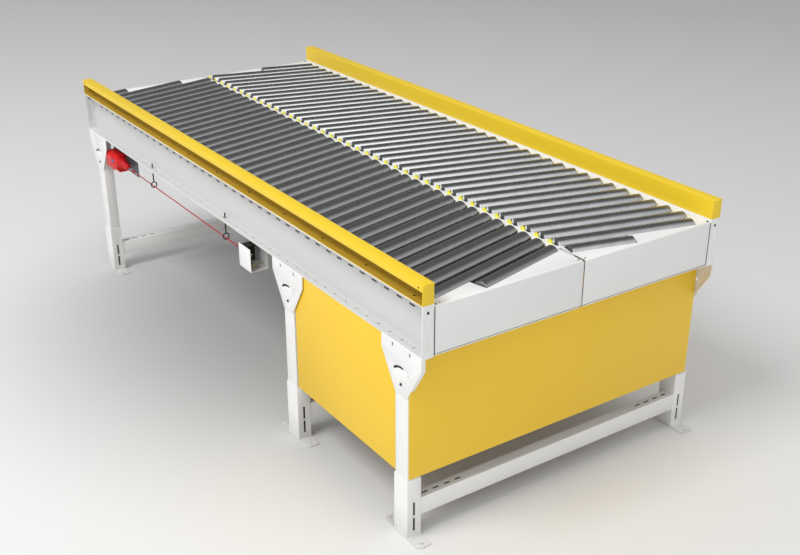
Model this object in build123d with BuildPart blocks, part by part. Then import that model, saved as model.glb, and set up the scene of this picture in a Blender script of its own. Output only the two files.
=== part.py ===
from build123d import *
from math import cos, pi, radians, sin, sqrt, tan
import os

os.makedirs("parts", exist_ok=True)

# A two-lane roller discharge table. The floor is z = 0, the table runs along Y and its discharge
# end looks towards -Y, the origin lies on the floor under the middle of the table. Millimetres.

# Table
table_length = 3000
table_width = 1350
frame_top = 930
frame_height = 185
flange_depth = 45
frame_sheet = 3
overrun = 2

half_length = table_length / 2
half_width = table_width / 2
frame_bottom = frame_top - frame_height
web_outer = half_width - flange_depth
web_inner = web_outer - frame_sheet

# Side frame holes
splice_hole_diameter = 11
splice_hole_spacing = 125
splice_hole_drop = 27
web_slot_length = 33
web_slot_height = 8
web_slot_drop = 52
web_slot_start = 121
web_slot_pitch = 75
web_slot_margin = 100
flange_hole_width = 7
flange_hole_start = 75
flange_hole_pitch = 70

web_slot_count = int((table_length - web_slot_start - web_slot_margin) / web_slot_pitch) + 1
flange_hole_count = int((table_length - 2 * flange_hole_start) / flange_hole_pitch) + 1

# Plates that close the table between the rollers
plate_drop = 8
plate_sheet = 2.5
plate_top = frame_top - plate_drop
plate_bottom = plate_top - plate_sheet
bend_radius = 5

# Rollers
roller_diameter = 60
roller_pitch = 75
roller_rise = 14
roller_skew = 14
roller_centre_x = 24
roller_web_gap = 30
least_roller_span = 60
left_lane_start = 214
right_lane_start = 176.5
front_margin = 41
back_margin = 48
axle_flats = 11
axle_clearance = 0.05
axle_end_gap = 0.3
roller_gap = 3
slot_end_gap = 4
right_centre_gap = 13
stub_reach = 9
stub_plate_width = 30
stub_plate_height = 24

roller_radius = roller_diameter / 2
roller_outer_x = web_inner - roller_web_gap
roller_z = plate_top + roller_rise - roller_radius
skew_tan = tan(radians(roller_skew))
skew_cos = cos(radians(roller_skew))
skew_sin = sin(radians(roller_skew))
axle_radius = axle_flats / 2 / cos(radians(30))
plate_depth_in_roller = roller_z - plate_bottom
slot_half_width = sqrt(roller_radius ** 2 - plate_depth_in_roller ** 2) + roller_gap
driven_roller_count = 5

# Combs and covers
comb_start = 130
comb_margin = 12
comb_tooth_reach = 47
comb_leg_height = 30
centre_tooth_x = 46
centre_wall_x = 10
centre_wall_margin = 62
shaft_hole_gap = 3
centre_gap = 4
guard_x = 2.5
guard_tooth_half = 15.5
guard_tooth_height = 17
guard_tip_half = 1.5
guard_shoulder_half = 4.2
guard_shoulder_drop = 2.2
cover_return = 20
cover_hole_diameter = 6
cover_hole_inset = 26
cover_hole_margin = 14

# Guard rails
rail_height = 73
rail_sheet = 2.5
rail_lip = 25

# Legs
front_leg_place = 113
middle_leg_place = 876
back_leg_margin = 133
sleeve_width = 57
sleeve_depth = 80
sleeve_wall = 3
sleeve_top = 240
sleeve_proud = 4
foot_sheet = 4
foot_half_length = 110
foot_hole_offset = 94
foot_hole_diameter = 12
foot_corner = 9
leg_slot_width = 9
leg_slot_length = 55
leg_slot_centres = (54, 118)
post_clearance = 0.5
post_seat_gap = 0.3
post_slot_width = 9
post_slot_length = 15
post_slot_start = 40
post_slot_pitch = 25
post_slot_count = 7
beam_height = 70
beam_bottom = 82
beam_flange = 44
beam_setback = 3
beam_slot_length = 26
beam_slot_width = 9
beam_slot_pitch = 48
beam_slot_start = 34
beam_slot_count = 4

leg_places = (front_leg_place, middle_leg_place, table_length - back_leg_margin)
sleeve_x = half_width + sleeve_proud - sleeve_width / 2
post_width = sleeve_width - 2 * sleeve_wall - 2 * post_clearance
post_depth = sleeve_depth - 2 * sleeve_wall - 2 * post_clearance
post_outer = sleeve_x + post_width / 2
beam_half = sleeve_x - sleeve_width / 2

# Leg brackets
bracket_half_width = 115
bracket_tip_half_width = 33
bracket_side_height = 48
bracket_height = 183
bracket_corner = 8
bracket_flange = 46
lip_depth = 13
lip_run = 58
lip_legs = {-1: leg_places[:1], 1: leg_places[1:]}
pivot_height = 41
pivot_hole_diameter = 11
clamp_slot_offset = 50
clamp_slot_width = 7
clamp_slot_height = 14
clamp_slot_drop = 13

# Skirt panels round the drive bay
skirt_sheet = 2
skirt_bottom = 244
skirt_inset = 3
skirt_return = 18
skirt_gap = 3

# Drive
end_tie_place = 40
bay_tie_place = 420
back_tie_steps = 4
tie_width = 40
tie_height = 35
tie_lift = 2
belt_width = 50
belt_thickness = 3
belt_gap = 0.3
pulley_radius = 40
pulley_face = 56
shaft_radius = 15
shaft_web_gap = 21
shaft_setback = 105
shaft_clearance = 0.05
bearing_flange_size = 72
bearing_neck_radius = 26
bearing_flange = 10
bed_clearance = 4
bed_end_gap = 60
toothed_radius = 36
toothed_face = 30
toothed_x = 150
drive_belt_width = 25
drive_belt_thickness = 4
motor_place = 490
motor_axis_drop = 122

back_tie_step = (leg_places[2] - leg_places[1]) / back_tie_steps
tie_places = [end_tie_place, bay_tie_place]
tie_places += [leg_places[1] + step * back_tie_step for step in range(back_tie_steps + 1)]
shaft_end_x = web_inner - shaft_web_gap
lane_x = (roller_outer_x + roller_centre_x) / 2
belt_top = roller_z - roller_radius - belt_gap
shaft_z = belt_top - belt_thickness - belt_gap - pulley_radius
tie_top = frame_bottom + frame_sheet + tie_lift + tie_height
front_shaft_y = -half_length + shaft_setback
back_shaft_y = half_length - shaft_setback
motor_y = -half_length + motor_place
motor_z = frame_bottom - motor_axis_drop

# Gear motor and its mount
mount_rail_height = 30
mount_rail_width = 40
mount_rail_spacing = 160
mount_rail_inset = 15
mount_setback = 40
mount_plate_sheet = 8
mount_plate_length = 240
gearbox_length = 130
gearbox_width = 150
gearbox_height = 165
gearbox_corner = 12
motor_radius = 68
motor_length = 230
fan_cover_length = 50
fan_cover_radius = 66
output_radius = 12
output_reach = 48

mount_rail_end = half_width - mount_rail_inset

# Stop switch, rope and eyebolts
rope_radius = 2.5
rope_inset = 23
rope_z = 658
switch_margin = 360
switch_length = 135
switch_width = 54
switch_height = 84
switch_drop = 10
switch_chamfer = 14
switch_outer_gap = 1
collar_radius = 24
collar_length = 42
cone_radius = 20
cone_tip_radius = 12
cone_length = 68
plunger_radius = 5
plunger_reach = 28
plunger_socket = 30
plunger_clearance = 0.05
eye_radius = 9
eye_wire = 2.5
eye_wire_sides = 6
button_radius = 9
button_height = 5
button_sink = 8
button_edge = 1
button_clearance = 0.1
button_forward = 42
switch_plate_sheet = 3
switch_plate_length = 320
switch_plate_height = 132
switch_plate_reach = 35
switch_plate_flange = 30
switch_flange_length = 250
anchor_to_eyebolt = 261
eyebolt_to_switch = 426
ring_radius = 13.5
ring_wire = 2.5
shank_radius = 3
shank_hole_radius = 3.5
shank_top = 22
nut_radius = 5.5
nut_height = 5
rope_seat_gap = 0.3

# Rope anchor
anchor_leg_gap = 314
anchor_length = 100
anchor_height = 100
anchor_drop = 45
anchor_depth = 78
anchor_sheet = 2.5
anchor_flange = 64
anchor_outer_gap = 1
anchor_hole_radius = 4
spring_radius = 7
spring_wire = 1
spring_turns = 6
spring_wire_sides = 6
coil_steps = 10
points_per_turn = 20
spring_length = 44
hook_gap = 0.3
rope_travel = 8
ferrule_length = 3
anchor_screw_radius = 3
anchor_screw_tail = 14

rope_x = half_width - rope_inset
switch_place = table_length - switch_margin
anchor_place = leg_places[1] + anchor_leg_gap
eyebolt_places = (anchor_place + anchor_to_eyebolt, switch_place - eyebolt_to_switch)


def section_at(distance):
    """Plane across the table at a distance from the front end, drawn in X and Z."""
    return Plane(origin=(0, distance - half_length, 0), x_dir=(1, 0, 0), z_dir=(0, -1, 0))


def lane_rollers(side):
    """Each roller of a lane as (inner x, outer x, y of its axis at the lane's centre end)."""
    start = left_lane_start if side < 0 else right_lane_start
    span = roller_outer_x - roller_centre_x
    last_y = table_length - back_margin + (span - least_roller_span) * skew_tan
    last_index = int((last_y - start) / roller_pitch)
    rollers = []
    for index in range(-1, last_index + 1):
        y = start + index * roller_pitch
        inner = roller_centre_x
        outer = roller_outer_x
        outer_y = y - (outer - inner) * skew_tan
        if outer_y < front_margin:
            outer = inner + (y - front_margin) / skew_tan
        if y > table_length - back_margin:
            inner = inner + (y - table_length + back_margin) / skew_tan
        rollers.append((inner, outer, y - half_length))
    return rollers


def axis_plane(side, x, y):
    """Plane square to a roller axis, where that axis passes the distance x from the middle."""
    origin = (side * x, y - (x - roller_centre_x) * skew_tan, roller_z)
    return Plane(origin=origin, x_dir=(skew_sin, side * skew_cos, 0),
                 z_dir=(side * skew_cos, -skew_sin, 0))


def slot_spot(side, inner, outer, y, shift=0):
    """Middle of a roller in plan, moved square to its axis by shift, turned along the axis."""
    middle = (inner + outer) / 2
    centre_x = side * middle + side * skew_sin * shift
    centre_y = y - (middle - roller_centre_x) * skew_tan + skew_cos * shift
    return Location((centre_x, centre_y, 0), (0, 0, -side * roller_skew))


def slot_start(side, inner):
    """Inner end of a roller's slot without its end gap, which is wider at the right lane's centre."""
    if side > 0 and inner == roller_centre_x:
        return inner - (right_centre_gap - slot_end_gap) * skew_cos
    return inner


def cut_roller_slots(side, rollers):
    """Cut one clearance slot for each roller out of the plate that is being drawn."""
    for inner, outer, y in rollers:
        start = slot_start(side, inner)
        with Locations(slot_spot(side, start, outer, y)):
            Rectangle((outer - start) / skew_cos + 2 * slot_end_gap, 2 * slot_half_width,
                      mode=Mode.SUBTRACT)


LEFT_ROLLERS = lane_rollers(-1)
RIGHT_ROLLERS = lane_rollers(1)
LANES = {-1: LEFT_ROLLERS, 1: RIGHT_ROLLERS}
SIDE_NAMES = {-1: "left", 1: "right"}


def save(builder, label):
    """Name a finished piece and write it."""
    builder.part.label = label
    export_step(builder.part, f"parts/{label}.step")


def axle_ends(inner, outer):
    """Distances from the middle between which a roller's axle runs."""
    slant = axle_radius * skew_sin + axle_end_gap
    start = centre_wall_x + slant
    end = web_inner - plate_sheet - slant
    if inner > roller_centre_x:
        start = inner - stub_reach
    if outer < roller_outer_x:
        end = outer + stub_reach
    return start, end


# Lower leg sleeves: square tubes on foot plates, with two slots for the height bolts
with BuildPart() as sleeves:
    for side in (-1, 1):
        for place in leg_places:
            leg_x = side * sleeve_x
            leg_y = place - half_length
            with BuildSketch(Plane.XY):
                with Locations((leg_x, leg_y)):
                    foot = Rectangle(sleeve_width, 2 * foot_half_length)
                    chamfer(foot.vertices(), foot_corner)
                with Locations((leg_x, leg_y - foot_hole_offset), (leg_x, leg_y + foot_hole_offset)):
                    Circle(foot_hole_diameter / 2, mode=Mode.SUBTRACT)
            extrude(amount=foot_sheet)
            with BuildSketch(Plane.XY.offset(foot_sheet)):
                with Locations((leg_x, leg_y)):
                    Rectangle(sleeve_width, sleeve_depth)
                    Rectangle(sleeve_width - 2 * sleeve_wall, sleeve_depth - 2 * sleeve_wall,
                              mode=Mode.SUBTRACT)
            extrude(amount=sleeve_top - foot_sheet)
            with Locations(*[(leg_x, leg_y, z) for z in leg_slot_centres]):
                Box(leg_slot_width, sleeve_depth + 2 * overrun, leg_slot_length, mode=Mode.SUBTRACT)
save(sleeves, "leg_sleeves")


def cross_beam(place):
    """Channel that ties a pair of sleeves, with four bolt slots near each end of its top."""
    beam_front = place - sleeve_depth / 2 + beam_setback - half_length
    with BuildPart() as beam:
        with BuildSketch(Plane.YZ.offset(-beam_half)):
            with Locations((beam_front, beam_bottom)):
                Rectangle(beam_flange, beam_height, align=Align.MIN)
            with Locations((beam_front + frame_sheet, beam_bottom + frame_sheet)):
                Rectangle(beam_flange, beam_height - 2 * frame_sheet, align=Align.MIN,
                          mode=Mode.SUBTRACT)
        extrude(amount=2 * beam_half)
        for side in (-1, 1):
            for index in range(beam_slot_count):
                slot_x = side * (beam_half - beam_slot_start - index * beam_slot_pitch)
                slot_y = beam_front + (beam_flange + frame_sheet) / 2
                with Locations((slot_x, slot_y, beam_bottom + beam_height)):
                    Box(beam_slot_length, beam_slot_width, 2 * frame_sheet + overrun,
                        mode=Mode.SUBTRACT)
    return beam


for name, place in zip(("front", "middle", "back"), leg_places):
    save(cross_beam(place), f"{name}_cross_beam")

# Upper leg posts, telescoping in the sleeves
with BuildPart() as posts:
    for side in (-1, 1):
        for place in leg_places:
            with BuildSketch(Plane.XY.offset(foot_sheet + post_seat_gap)):
                with Locations((side * sleeve_x, place - half_length)):
                    Rectangle(post_width, post_depth)
                    Rectangle(post_width - 2 * sleeve_wall, post_depth - 2 * sleeve_wall,
                              mode=Mode.SUBTRACT)
            extrude(amount=frame_bottom - frame_sheet - foot_sheet - post_seat_gap)
            with Locations(*[(side * sleeve_x, place - half_length, post_slot_start + index * post_slot_pitch)
                             for index in range(post_slot_count)]):
                Box(post_slot_width, post_depth + 2 * overrun, post_slot_length, mode=Mode.SUBTRACT)
save(posts, "leg_posts")

# Leg brackets: gusset plates with a pivot hole, two clamp slots and a flange under the side frame
bracket_tip = frame_bottom - bracket_height
bracket_shoulder = frame_bottom - bracket_side_height
pivot_z = bracket_tip + pivot_height
with BuildPart() as brackets:
    for side in (-1, 1):
        for place in leg_places:
            leg_y = place - half_length
            plate_x = side * post_outer if side > 0 else side * (post_outer + frame_sheet)
            with BuildSketch(Plane.YZ.offset(plate_x)):
                with BuildLine():
                    Polyline((leg_y - bracket_half_width, frame_bottom),
                             (leg_y - bracket_half_width, bracket_shoulder),
                             (leg_y - bracket_tip_half_width, bracket_tip),
                             (leg_y + bracket_tip_half_width, bracket_tip),
                             (leg_y + bracket_half_width, bracket_shoulder),
                             (leg_y + bracket_half_width, frame_bottom), close=True)
                plate = make_face()
                fillet(plate.vertices().group_by(Axis.Y)[0], bracket_corner)
                with Locations((leg_y, pivot_z)):
                    Circle(pivot_hole_diameter / 2, mode=Mode.SUBTRACT)
                with Locations((leg_y - clamp_slot_offset, frame_bottom - clamp_slot_drop),
                               (leg_y + clamp_slot_offset, frame_bottom - clamp_slot_drop)):
                    Rectangle(clamp_slot_width, clamp_slot_height, mode=Mode.SUBTRACT)
            extrude(amount=frame_sheet)
            flange_x = side * (post_outer + frame_sheet - bracket_flange / 2)
            with Locations((flange_x, leg_y, frame_bottom - frame_sheet / 2)):
                Box(bracket_flange, 2 * bracket_half_width, frame_sheet)
            for end in (-1, 1):
                if place in lip_legs[end]:
                    edge = leg_y + end * bracket_half_width
                    slope = (bracket_shoulder - bracket_tip) / (bracket_half_width - bracket_tip_half_width)
                    low_edge = edge - end * lip_run
                    low_z = bracket_shoulder - lip_run * slope
                    with BuildSketch(Plane.YZ.offset(side * post_outer)):
                        Polygon((edge, frame_bottom), (edge, bracket_shoulder), (low_edge, low_z),
                                (low_edge - end * frame_sheet, low_z),
                                (edge - end * frame_sheet, bracket_shoulder),
                                (edge - end * frame_sheet, frame_bottom), align=None)
                    extrude(amount=-side * lip_depth)
save(brackets, "leg_brackets")


def side_frame(side):
    """Channel that opens outwards, closed by an end plate with two splice holes at each end."""
    outer = side * half_width
    with BuildPart() as frame:
        with BuildSketch(section_at(0)):
            with Locations((side * (web_inner + half_width) / 2, frame_bottom + frame_height / 2)):
                Rectangle(flange_depth + frame_sheet, frame_height)
            with Locations((side * (web_outer + half_width + overrun) / 2,
                            frame_bottom + frame_height / 2)):
                Rectangle(flange_depth + overrun, frame_height - 2 * frame_sheet,
                          mode=Mode.SUBTRACT)
        extrude(amount=-table_length)
        for end in (frame_sheet, table_length):
            with BuildSketch(section_at(end)):
                with Locations((outer - side * flange_depth / 2, frame_bottom + frame_height / 2)):
                    Rectangle(flange_depth, frame_height)
                splice_x = outer - side * flange_depth / 2
                splice_top = frame_top - splice_hole_drop
                with Locations((splice_x, splice_top), (splice_x, splice_top - splice_hole_spacing)):
                    Circle(splice_hole_diameter / 2, mode=Mode.SUBTRACT)
            extrude(amount=frame_sheet)
        slot_z = frame_top - web_slot_drop
        slot_x = side * (web_inner + web_outer) / 2
        with Locations(*[(slot_x, web_slot_start + index * web_slot_pitch - half_length, slot_z)
                         for index in range(web_slot_count)]):
            Box(frame_sheet + 2 * overrun, web_slot_length, web_slot_height, mode=Mode.SUBTRACT)
        hole_x = side * (web_outer + half_width) / 2
        with Locations(*[(hole_x, flange_hole_start + index * flange_hole_pitch - half_length,
                          frame_bottom) for index in range(flange_hole_count)]):
            Box(flange_hole_width, flange_hole_width, 2 * frame_sheet + overrun, mode=Mode.SUBTRACT)
        if side < 0:
            with Locations(*[(-rope_x, place - half_length, frame_bottom)
                             for place in eyebolt_places]):
                Cylinder(shank_hole_radius, 2 * frame_sheet + overrun, mode=Mode.SUBTRACT)
    return frame


for side in (-1, 1):
    save(side_frame(side), f"{SIDE_NAMES[side]}_side_frame")


def guard_rail(side):
    """Folded rail that opens outwards under a lip, with a cap at each end."""
    rail_x = side * (half_width - flange_depth / 2)
    rail_z = frame_top + rail_height / 2
    opening = rail_height - rail_lip - rail_sheet
    with BuildPart() as rail:
        with BuildSketch(section_at(0)):
            with Locations((rail_x, rail_z)):
                Rectangle(flange_depth, rail_height)
                Rectangle(flange_depth - 2 * rail_sheet, rail_height - 2 * rail_sheet,
                          mode=Mode.SUBTRACT)
            with Locations((side * half_width, frame_top + rail_sheet + opening / 2)):
                Rectangle(2 * rail_sheet + overrun, opening, mode=Mode.SUBTRACT)
        extrude(amount=-table_length)
        for end in (rail_sheet, table_length):
            with BuildSketch(section_at(end)):
                with Locations((rail_x, rail_z)):
                    Rectangle(flange_depth, rail_height)
            extrude(amount=rail_sheet)
    return rail


for side in (-1, 1):
    save(guard_rail(side), f"{SIDE_NAMES[side]}_guard_rail")


def roller_comb(side):
    """Angle along a side frame, whose top reaches between the roller ends as teeth."""
    comb_length = table_length - 2 * comb_start
    leg_length = table_length - 2 * comb_margin
    with BuildPart() as comb:
        with BuildSketch(Plane.XY.offset(plate_bottom)):
            with Locations((side * (web_inner - comb_tooth_reach / 2), 0)):
                Rectangle(comb_tooth_reach, comb_length)
            cut_roller_slots(side, LANES[side])
        extrude(amount=plate_sheet)
        with Locations((side * (web_inner - plate_sheet / 2), 0, plate_bottom - comb_leg_height / 2)):
            Box(plate_sheet, leg_length, comb_leg_height)
    return comb


for side in (-1, 1):
    save(roller_comb(side), f"{SIDE_NAMES[side]}_roller_comb")

# Centre beam: a deep folded channel whose top is a double comb between the two lanes
beam_length = table_length - 2 * comb_start
with BuildPart() as centre_beam:
    with BuildSketch(Plane.XY.offset(plate_bottom)):
        Rectangle(2 * centre_tooth_x, beam_length)
        for side in (-1, 1):
            cut_roller_slots(side, LANES[side])
    extrude(amount=plate_sheet)
    for side in (-1, 1):
        with Locations((side * (centre_wall_x - plate_sheet / 2), 0, (tie_top + plate_bottom) / 2)):
            Box(plate_sheet, table_length - 2 * centre_wall_margin, plate_bottom - tie_top)
    with Locations((0, front_shaft_y, shaft_z), (0, back_shaft_y, shaft_z)):
        Cylinder(shaft_radius + shaft_hole_gap, 2 * centre_wall_x + overrun, rotation=(0, 90, 0),
                 mode=Mode.SUBTRACT)
save(centre_beam, "centre_beam")

# Finger guard: one pointed tooth before each roller end of the right lane, behind the front cover
guarded_rollers = [(inner, y) for inner, outer, y in RIGHT_ROLLERS
                   if inner == roller_centre_x and y + half_length > comb_start]
shoulder_height = guard_tooth_height - guard_shoulder_drop
with BuildPart() as finger_guard:
    with BuildSketch(Plane.YZ.offset(guard_x)):
        for inner, y in guarded_rollers:
            with Locations((y + (inner - guard_x) * skew_tan, plate_top)):
                Polygon((-guard_tooth_half, 0), (guard_tooth_half, 0),
                        (guard_shoulder_half, shoulder_height), (guard_tip_half, guard_tooth_height),
                        (-guard_tip_half, guard_tooth_height), (-guard_shoulder_half, shoulder_height),
                        align=None)
    extrude(amount=plate_sheet)
save(finger_guard, "centre_finger_guard")


def covered_rollers(side, end):
    """Rollers of a lane whose slots reach the cover at one end of the table."""
    edge = half_length - comb_start - slot_half_width / skew_cos
    reached = []
    for inner, outer, y in LANES[side]:
        nearest_x = outer if end < 0 else inner
        if end * (y - (nearest_x - roller_centre_x) * skew_tan) > edge:
            reached.append((inner, outer, y))
    return reached


def end_cover(side, end):
    """Folded cover of one lane's end: its top is stepped round the roller ends."""
    cover_outer = web_inner
    cover_inner = centre_gap / 2
    cover_width = cover_outer - cover_inner
    cover_x = side * (cover_outer + cover_inner) / 2
    rollers = covered_rollers(side, end)
    reach = comb_start + roller_pitch
    with BuildPart() as cover:
        with BuildSketch(Plane.XY.offset(plate_bottom)):
            with Locations((cover_x, end * (half_length - comb_start / 2))):
                Rectangle(cover_width, comb_start)
            for inner, outer, y in rollers:
                start = slot_start(side, inner)
                shift = -end * (reach - slot_half_width) / 2
                with Locations(slot_spot(side, start, outer, y, shift)):
                    Rectangle((outer - start) / skew_cos + 2 * slot_end_gap,
                              reach + slot_half_width, mode=Mode.SUBTRACT)
            hole_y = end * (half_length - cover_hole_margin)
            with Locations((side * cover_hole_inset / 2, hole_y),
                           (side * (web_inner - cover_hole_inset), hole_y)):
                Circle(cover_hole_diameter / 2, mode=Mode.SUBTRACT)
        extrude(amount=plate_sheet)
        for inner, outer, y in rollers:
            start, stop = axle_ends(inner, outer)
            if inner > roller_centre_x:
                with Locations(axis_plane(side, start - axle_end_gap, y)):
                    with Locations((0, plate_bottom - roller_z, 0)):
                        Box(stub_plate_width, stub_plate_height, plate_sheet,
                            align=(Align.CENTER, Align.MAX, Align.MAX))
            if outer < roller_outer_x:
                with Locations(axis_plane(side, stop + axle_end_gap, y)):
                    with Locations((0, plate_bottom - roller_z, 0)):
                        Box(stub_plate_width, stub_plate_height, plate_sheet,
                            align=(Align.CENTER, Align.MAX, Align.MIN))
        face_height = plate_top - frame_bottom
        with Locations((cover_x, end * (half_length - plate_sheet / 2),
                        frame_bottom + face_height / 2)):
            Box(cover_width, plate_sheet, face_height)
        with Locations((cover_x, end * (half_length - cover_return / 2),
                        frame_bottom + plate_sheet / 2)):
            Box(cover_width, cover_return, plate_sheet)
        bend = cover.edges().filter_by(Axis.X).group_by(Axis.Z)[-1].sort_by(Axis.Y)
        fillet(bend[0 if end < 0 else -1], bend_radius)
    return cover


for end, end_name in ((-1, "front"), (1, "back")):
    for side in (-1, 1):
        save(end_cover(side, end), f"{end_name}_{SIDE_NAMES[side]}_cover")


# The first rollers of each lane turn on their own, in a round bore
for side in (-1, 1):
    for index in range(driven_roller_count):
        inner, outer, y = LANES[side][index]
        with BuildPart() as roller:
            with BuildSketch(axis_plane(side, inner, y)):
                Circle(roller_radius)
                Circle(axle_radius + axle_clearance, mode=Mode.SUBTRACT)
            extrude(amount=(outer - inner) / skew_cos)
        save(roller, f"{SIDE_NAMES[side]}_roller_{index + 1}")

# The rest of a lane is one group, whose rollers sit on the flats of their axles
for side in (-1, 1):
    with BuildPart() as lane:
        for inner, outer, y in LANES[side][driven_roller_count:]:
            with BuildSketch(axis_plane(side, inner, y)):
                Circle(roller_radius)
                RegularPolygon(axle_radius + axle_clearance, 6, mode=Mode.SUBTRACT)
            extrude(amount=(outer - inner) / skew_cos)
    save(lane, f"{SIDE_NAMES[side]}_lane_rollers")

# Fixed hexagon axles, from the comb's leg to the centre beam's wall, or to a plate under a cover
with BuildPart() as axles:
    for side in (-1, 1):
        for inner, outer, y in LANES[side]:
            start, stop = axle_ends(inner, outer)
            with BuildSketch(axis_plane(side, start, y)):
                RegularPolygon(axle_radius, 6)
            extrude(amount=(stop - start) / skew_cos)
save(axles, "roller_axles")

# Cross ties under the deck, on the bottom flanges of the side frames
with BuildPart() as ties:
    with Locations(*[(0, place - half_length, tie_top - tie_height / 2) for place in tie_places]):
        Box(2 * web_inner, tie_width, tie_height)
save(ties, "cross_ties")

# Skirt panels between the front and middle legs
skirt_top = frame_bottom - frame_sheet
skirt_height = skirt_top - skirt_bottom
bay_front = leg_places[0] - half_length
bay_back = leg_places[1] - half_length
skirt_x = half_width - skirt_inset
for side in (-1, 1):
    with BuildPart() as skirt:
        run = bay_back - bay_front - sleeve_depth - 2 * skirt_gap
        with Locations((side * (skirt_x - skirt_sheet / 2), (bay_front + bay_back) / 2,
                        skirt_bottom + skirt_height / 2)):
            Box(skirt_sheet, run, skirt_height)
        with Locations((side * (skirt_x - skirt_return / 2), (bay_front + bay_back) / 2,
                        skirt_bottom + skirt_sheet / 2)):
            Box(skirt_return, run, skirt_sheet)
    save(skirt, f"{SIDE_NAMES[side]}_skirt")
for end, end_name, leg_y in ((-1, "front", bay_front), (1, "back", bay_back)):
    with BuildPart() as skirt:
        face_y = leg_y + end * (post_depth / 2 + post_seat_gap + skirt_sheet / 2)
        with Locations((0, face_y, skirt_bottom + skirt_height / 2)):
            Box(2 * skirt_x, skirt_sheet, skirt_height)
        return_y = leg_y + end * (post_depth / 2 + post_seat_gap + skirt_sheet - skirt_return / 2)
        with Locations((0, return_y, skirt_bottom + skirt_sheet / 2)):
            Box(2 * beam_half - 2 * skirt_gap, skirt_return, skirt_sheet)
    save(skirt, f"{end_name}_skirt")

# Lane belts: endless flat belts that carry the rollers round from below
with BuildPart() as belts:
    for side in (-1, 1):
        with BuildSketch(Plane.YZ.offset(side * lane_x - belt_width / 2)):
            with Locations((0, shaft_z)):
                loop = 2 * (pulley_radius + belt_gap)
                SlotCenterToCenter(back_shaft_y - front_shaft_y, loop + 2 * belt_thickness)
                SlotCenterToCenter(back_shaft_y - front_shaft_y, loop, mode=Mode.SUBTRACT)
        extrude(amount=belt_width)
save(belts, "lane_belts")

# Belt beds: upturned channels on the ties, each carrying the upper run of a belt
bed_top = belt_top - belt_thickness
bed_half = belt_width / 2 + bed_clearance + plate_sheet
with BuildPart() as beds:
    for side in (-1, 1):
        with BuildSketch(section_at(shaft_setback + bed_end_gap)):
            with Locations((side * lane_x, (tie_top + bed_top) / 2)):
                Rectangle(2 * bed_half, bed_top - tie_top)
            with Locations((side * lane_x, (tie_top + bed_top) / 2 - plate_sheet)):
                Rectangle(2 * (bed_half - plate_sheet), bed_top - tie_top, mode=Mode.SUBTRACT)
        extrude(amount=-(table_length - 2 * (shaft_setback + bed_end_gap)))
save(beds, "belt_beds")


def cross_shaft(y):
    """Shaft across the table, with its ends in the two flange bearings."""
    with BuildPart() as shaft:
        with Locations((0, y, shaft_z)):
            Cylinder(shaft_radius, 2 * shaft_end_x, rotation=(0, 90, 0))
    return shaft


def pulley_ring(x, y, z, radius, face, bore):
    """Plain pulley on a shaft along X."""
    with Locations((x, y, z)):
        Cylinder(radius, face, rotation=(0, 90, 0))
        Cylinder(bore, face + 2 * overrun, rotation=(0, 90, 0), mode=Mode.SUBTRACT)


save(cross_shaft(front_shaft_y), "drive_shaft")
save(cross_shaft(back_shaft_y), "tail_shaft")
with BuildPart() as drive_pulleys:
    for side in (-1, 1):
        pulley_ring(side * lane_x, front_shaft_y, shaft_z, pulley_radius, pulley_face, shaft_radius)
    pulley_ring(-toothed_x, front_shaft_y, shaft_z, toothed_radius, toothed_face, shaft_radius)
save(drive_pulleys, "drive_pulleys")
with BuildPart() as tail_pulleys:
    for side in (-1, 1):
        pulley_ring(side * lane_x, back_shaft_y, shaft_z, pulley_radius, pulley_face, shaft_radius)
save(tail_pulleys, "tail_pulleys")

# Flange bearings on the inner faces of the side frames
with BuildPart() as bearings:
    for y in (front_shaft_y, back_shaft_y):
        for side in (-1, 1):
            bearing_depth = web_inner - shaft_end_x + bearing_flange
            with BuildSketch(Plane(origin=(side * web_inner, y, shaft_z), x_dir=(0, 1, 0),
                                   z_dir=(-side, 0, 0))):
                Rectangle(bearing_flange_size, bearing_flange_size)
                Circle(shaft_radius + shaft_clearance, mode=Mode.SUBTRACT)
            extrude(amount=bearing_flange)
            with BuildSketch(Plane(origin=(side * (web_inner - bearing_flange), y, shaft_z),
                                   z_dir=(-side, 0, 0))):
                Circle(bearing_neck_radius)
                Circle(shaft_radius + shaft_clearance, mode=Mode.SUBTRACT)
            extrude(amount=bearing_depth)
save(bearings, "shaft_bearings")

# Motor mount: two rails under the side frames with a plate that carries the gearbox
rail_bottom = frame_bottom - mount_rail_height
mount_y = motor_y + mount_setback
with BuildPart() as motor_mount:
    for step in (-1, 1):
        with BuildSketch(Plane.YZ.offset(-mount_rail_end)):
            with Locations((mount_y + step * mount_rail_spacing / 2,
                            frame_bottom - mount_rail_height / 2)):
                Rectangle(mount_rail_width, mount_rail_height)
                Rectangle(mount_rail_width - 2 * frame_sheet, mount_rail_height - 2 * frame_sheet,
                          mode=Mode.SUBTRACT)
        extrude(amount=2 * mount_rail_end)
    with Locations((0, mount_y, rail_bottom - mount_plate_sheet / 2)):
        Box(mount_plate_length, mount_rail_spacing + mount_rail_width, mount_plate_sheet)
save(motor_mount, "motor_mount")

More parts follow.
